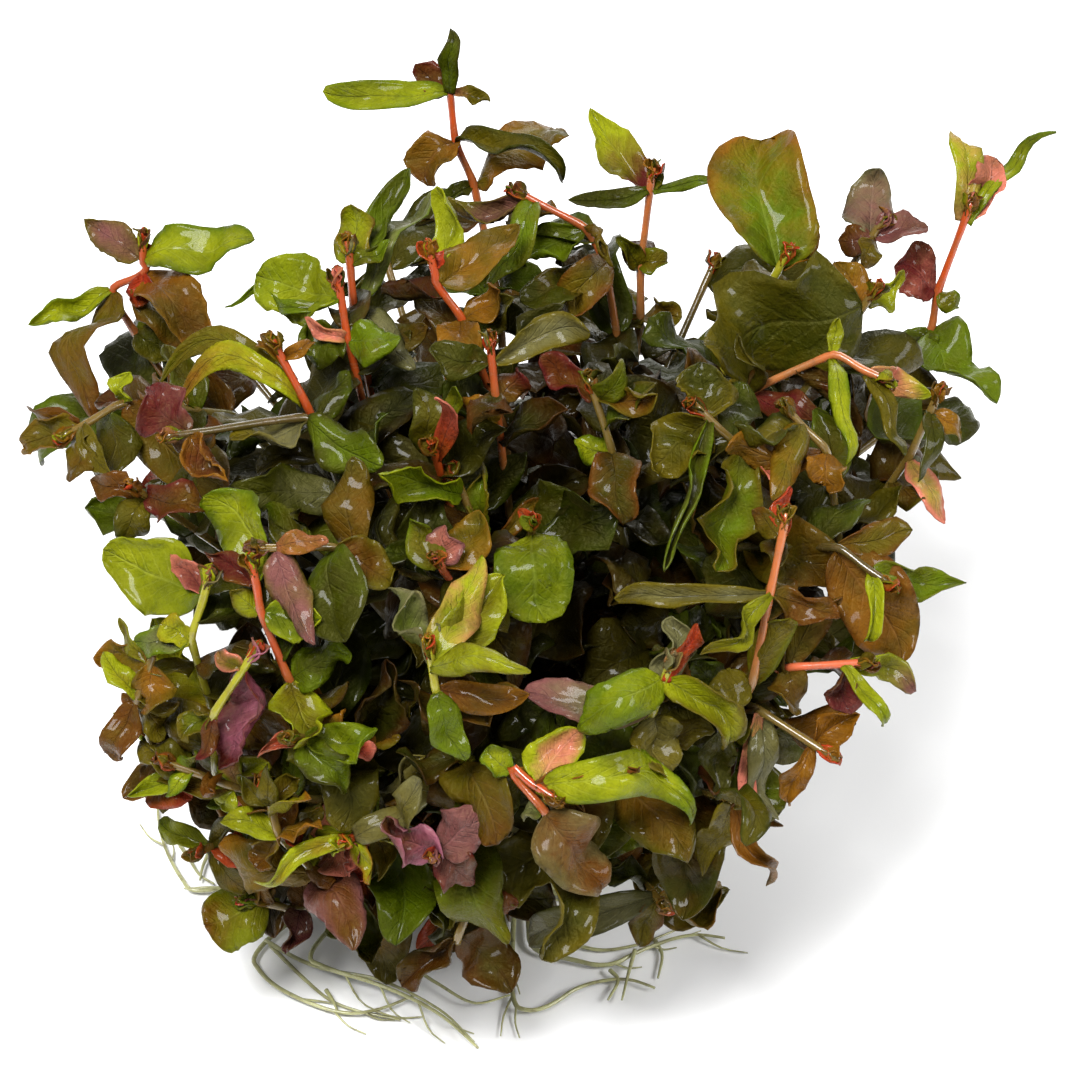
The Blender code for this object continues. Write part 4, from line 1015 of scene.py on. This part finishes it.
class Crowd:
    """Coarse shapes of the leaves that stand, so that a further one grows where there is room."""

    def __init__(self):
        self.shapes = []

    def shape(self, blade):
        rows = [(share, blade.row(share)) for share in (0.12, 0.4, 0.7, 0.95)]
        corners = [blade.spot(row, share, over, False) for share, row in rows for over in (-1, 0, 1)]
        faces = [(k, k + 1, k + 4, k + 3) for k in (0, 1, 3, 4, 6, 7)]
        low = Vector(map(min, *corners))
        high = Vector(map(max, *corners))
        return low, high, BVHTree.FromPolygons(corners, faces)

    def add(self, shape):
        self.shapes.append(shape)

    def meets(self, shape):
        low, high, tree = shape
        for other_low, other_high, other in self.shapes:
            near = all(low[k] < other_high[k] and high[k] > other_low[k] for k in range(3))
            if near and tree.overlap(other):
                return True
        return False


LARGE_HALF_WIDTH = 0.0018
crowd = Crowd()
foliage = {}
for name, shoot in PLANTS.items():
    chance = random.Random("leaves " + name)
    gathered = foliage[name] = Foliage()
    for tip, rows in shoot.leaves:
        tones, shade, form = leaf_look(name, tip, chance)
        blade = solid_blade(tip, rows, tones, chance, shade)
        for part, value in form.items():
            setattr(blade, part, value)
        crowd.add(crowd.shape(blade))
        large = blade.half_width > LARGE_HALF_WIDTH
        gathered.add(blade, 20 if large else 14, 10 if large else 8)

# The buds. At the tip of each shoot three crossed pairs of young leaves stand folded round one another,
# a millimetre or two long and in the shoot's own colours, with red to bronze where they are newest.
# Share of the stem where a pair grows, its length, and how many degrees it stands open
BUD_PAIRS = ((0.985, 0.0022, 24), (0.992, 0.0018, 14), (1.0, 0.0014, 6))
for name, shoot in PLANTS.items():
    chance = random.Random("bud " + name)
    young = [tip[2].split()[0] for tip in LEAF_TONES.get(name, ((0, 0, "olive"),))]
    course = Course(shoot.path)
    way = course.way(1)
    side = way.cross(Vector((0.2, 0.9, 0.3))).normalized()
    for pair, (share, length, open_by) in enumerate(BUD_PAIRS):
        for half in (0, math.pi):
            angle = half + pair * math.pi / 2
            out = side * math.cos(angle) + way.cross(side) * math.sin(angle)
            lean = math.radians(open_by + chance.uniform(-6, 6))
            along = way * math.cos(lean) + out * math.sin(lean)
            base = course.at(share) - way * 0.0006
            tones = [chance.choice(young), chance.choice(("amber", "bronze", "red"))]
            blade = free_blade(base, along, way - out * 0.4, length, length * 0.34, 0.25, 0.9, tones, chance)
            blade.ruffle, blade.fold, blade.roll = 0.1, 0.1, (0.1, 1, 0)
            foliage[name].add(blade, 8, 6)

# The lower leaves. Below the leaves that are seen, each stem bears older pairs all the way down, smaller
# and in darker tones, wherever its neighbours leave room, with painted shade that darkens them more deep
# inside the clump and low in it. They make the clump dense and dark inside. The small shoots at the left
# of its foot bear crowded young pairs instead.
LOW_SPACING = 0.0045
SPRIG_SPACING = 0.0026
LOW_LENGTH = (0.0065, 0.0105)
SPRIGS = ("bud_cluster", "low_lime", "loops", "left_low", "spoon_low", "trilobe", "corner_leaf")
for name, shoot in PLANTS.items():
    chance = random.Random("low " + name)
    course = Course(shoot.path)
    small = name in SPRIGS
    count = int(course.length / (SPRIG_SPACING if small else LOW_SPACING))
    for step in range(1, count):
        share = step / count
        young = small and share > 0.55
        point, way = course.at(share), course.way(share)
        side = way.cross(Vector((0.7, 0.2, 0.1))).normalized()
        turn = chance.uniform(0, math.pi)
        for half in (0, math.pi):
            for attempt in range(4):
                angle = turn + half + attempt * 0.5
                out = side * math.cos(angle) + way.cross(side) * math.sin(angle)
                length = chance.uniform(*LOW_LENGTH) * (1 - 0.1 * attempt) * (0.55 if young else 1)
                along = (out * 0.86 + way * chance.uniform(0.1, 0.5)).normalized()
                tip = point + along * length
                seen = pixel_of(tip)
                if tip.z < 0.001 or reach_of(tip) > (1.05 if young else 0.93):
                    continue
                if any(math.dist(seen, place) < radius for *place, radius in OPEN_PLACES):
                    continue
                tone = chance.choice(YOUNG_TONES if young else HIDDEN_TONES)
                tones = [tone, chance.choice(BLUSHES[tone])]
                wide = length * chance.uniform(0.22, 0.3)
                bend, curl = chance.uniform(-0.4, 0.5), chance.choice((0.5, 0.8, -0.5, 1.3))
                face = Vector((0, 0, 1)) + way * 0.3
                shade = 1.0 if young else inner_shade(tip)
                blade = free_blade(point, along, face, length, wide, bend, curl, tones, chance, shade)
                shape = crowd.shape(blade)
                if not crowd.meets(shape):
                    crowd.add(shape)
                    foliage[name].add(blade, 10, 6)
                    break

for name, gathered in foliage.items():
    tips = LEAF_TONES.get(name, ((0, 0, "olive"),))
    slots = [SLOT_OF.get(tip[2].split()[0], "leaves_red") for tip in tips]
    gathered.finish("leaves_" + name, max(sorted(set(slots)), key=slots.count), ["shoot_" + name])

# The floor and the light. The clump stands on a plain white floor in a bright room, with one large panel
# above the viewer's left shoulder, one to the right and one behind that lights the leaves' edges.
GROUND_SIZE = 1.2


def build_ground():
    material, start = wet_finish("pale_ground")
    tone = start.grain(9, 2).mix((0.86, 0.86, 0.86), (0.88, 0.88, 0.88))
    shader = start.node("ShaderNodeBsdfPrincipled", None, {"Base Color": tone, "Roughness": 0.6})
    start.node("ShaderNodeOutputMaterial", None, {"Surface": shader})
    bm = bmesh.new()
    bmesh.ops.create_grid(bm, x_segments=4, y_segments=4, size=GROUND_SIZE)
    mesh = bpy.data.meshes.new("ground")
    bm.to_mesh(mesh)
    bm.free()
    mesh.materials.append(material)
    ground = bpy.data.objects.new("ground", mesh)
    bpy.context.scene.collection.objects.link(ground)


def build_panel(name, place, size, power):
    """A soft light panel that looks at the clump."""
    lamp = bpy.data.objects.new(name, bpy.data.lights.new(name, "AREA"))
    lamp.data.shape = "RECTANGLE"
    lamp.data.size = size
    lamp.data.size_y = size * 0.8
    lamp.data.energy = power
    lamp.location = place
    lamp.rotation_euler = (Vector((0, 0, 0.03)) - Vector(place)).to_track_quat("-Z", "Y").to_euler()
    bpy.context.scene.collection.objects.link(lamp)


build_ground()
build_panel("panel_key", (-0.24, -0.30, 0.88), 0.4, 16.5)
build_panel("panel_right", (0.8, -0.35, 0.7), 0.4, 8)
build_panel("panel_back", (0.15, 0.8, 0.4), 0.4, 4)
world = bpy.data.worlds.new("soft_room")
world.use_nodes = True
world.node_tree.nodes["Background"].inputs["Color"].default_value = (1, 1, 1, 1)
world.node_tree.nodes["Background"].inputs["Strength"].default_value = 0.4
bpy.context.scene.world = world
bpy.context.scene.view_settings.view_transform = "Standard"
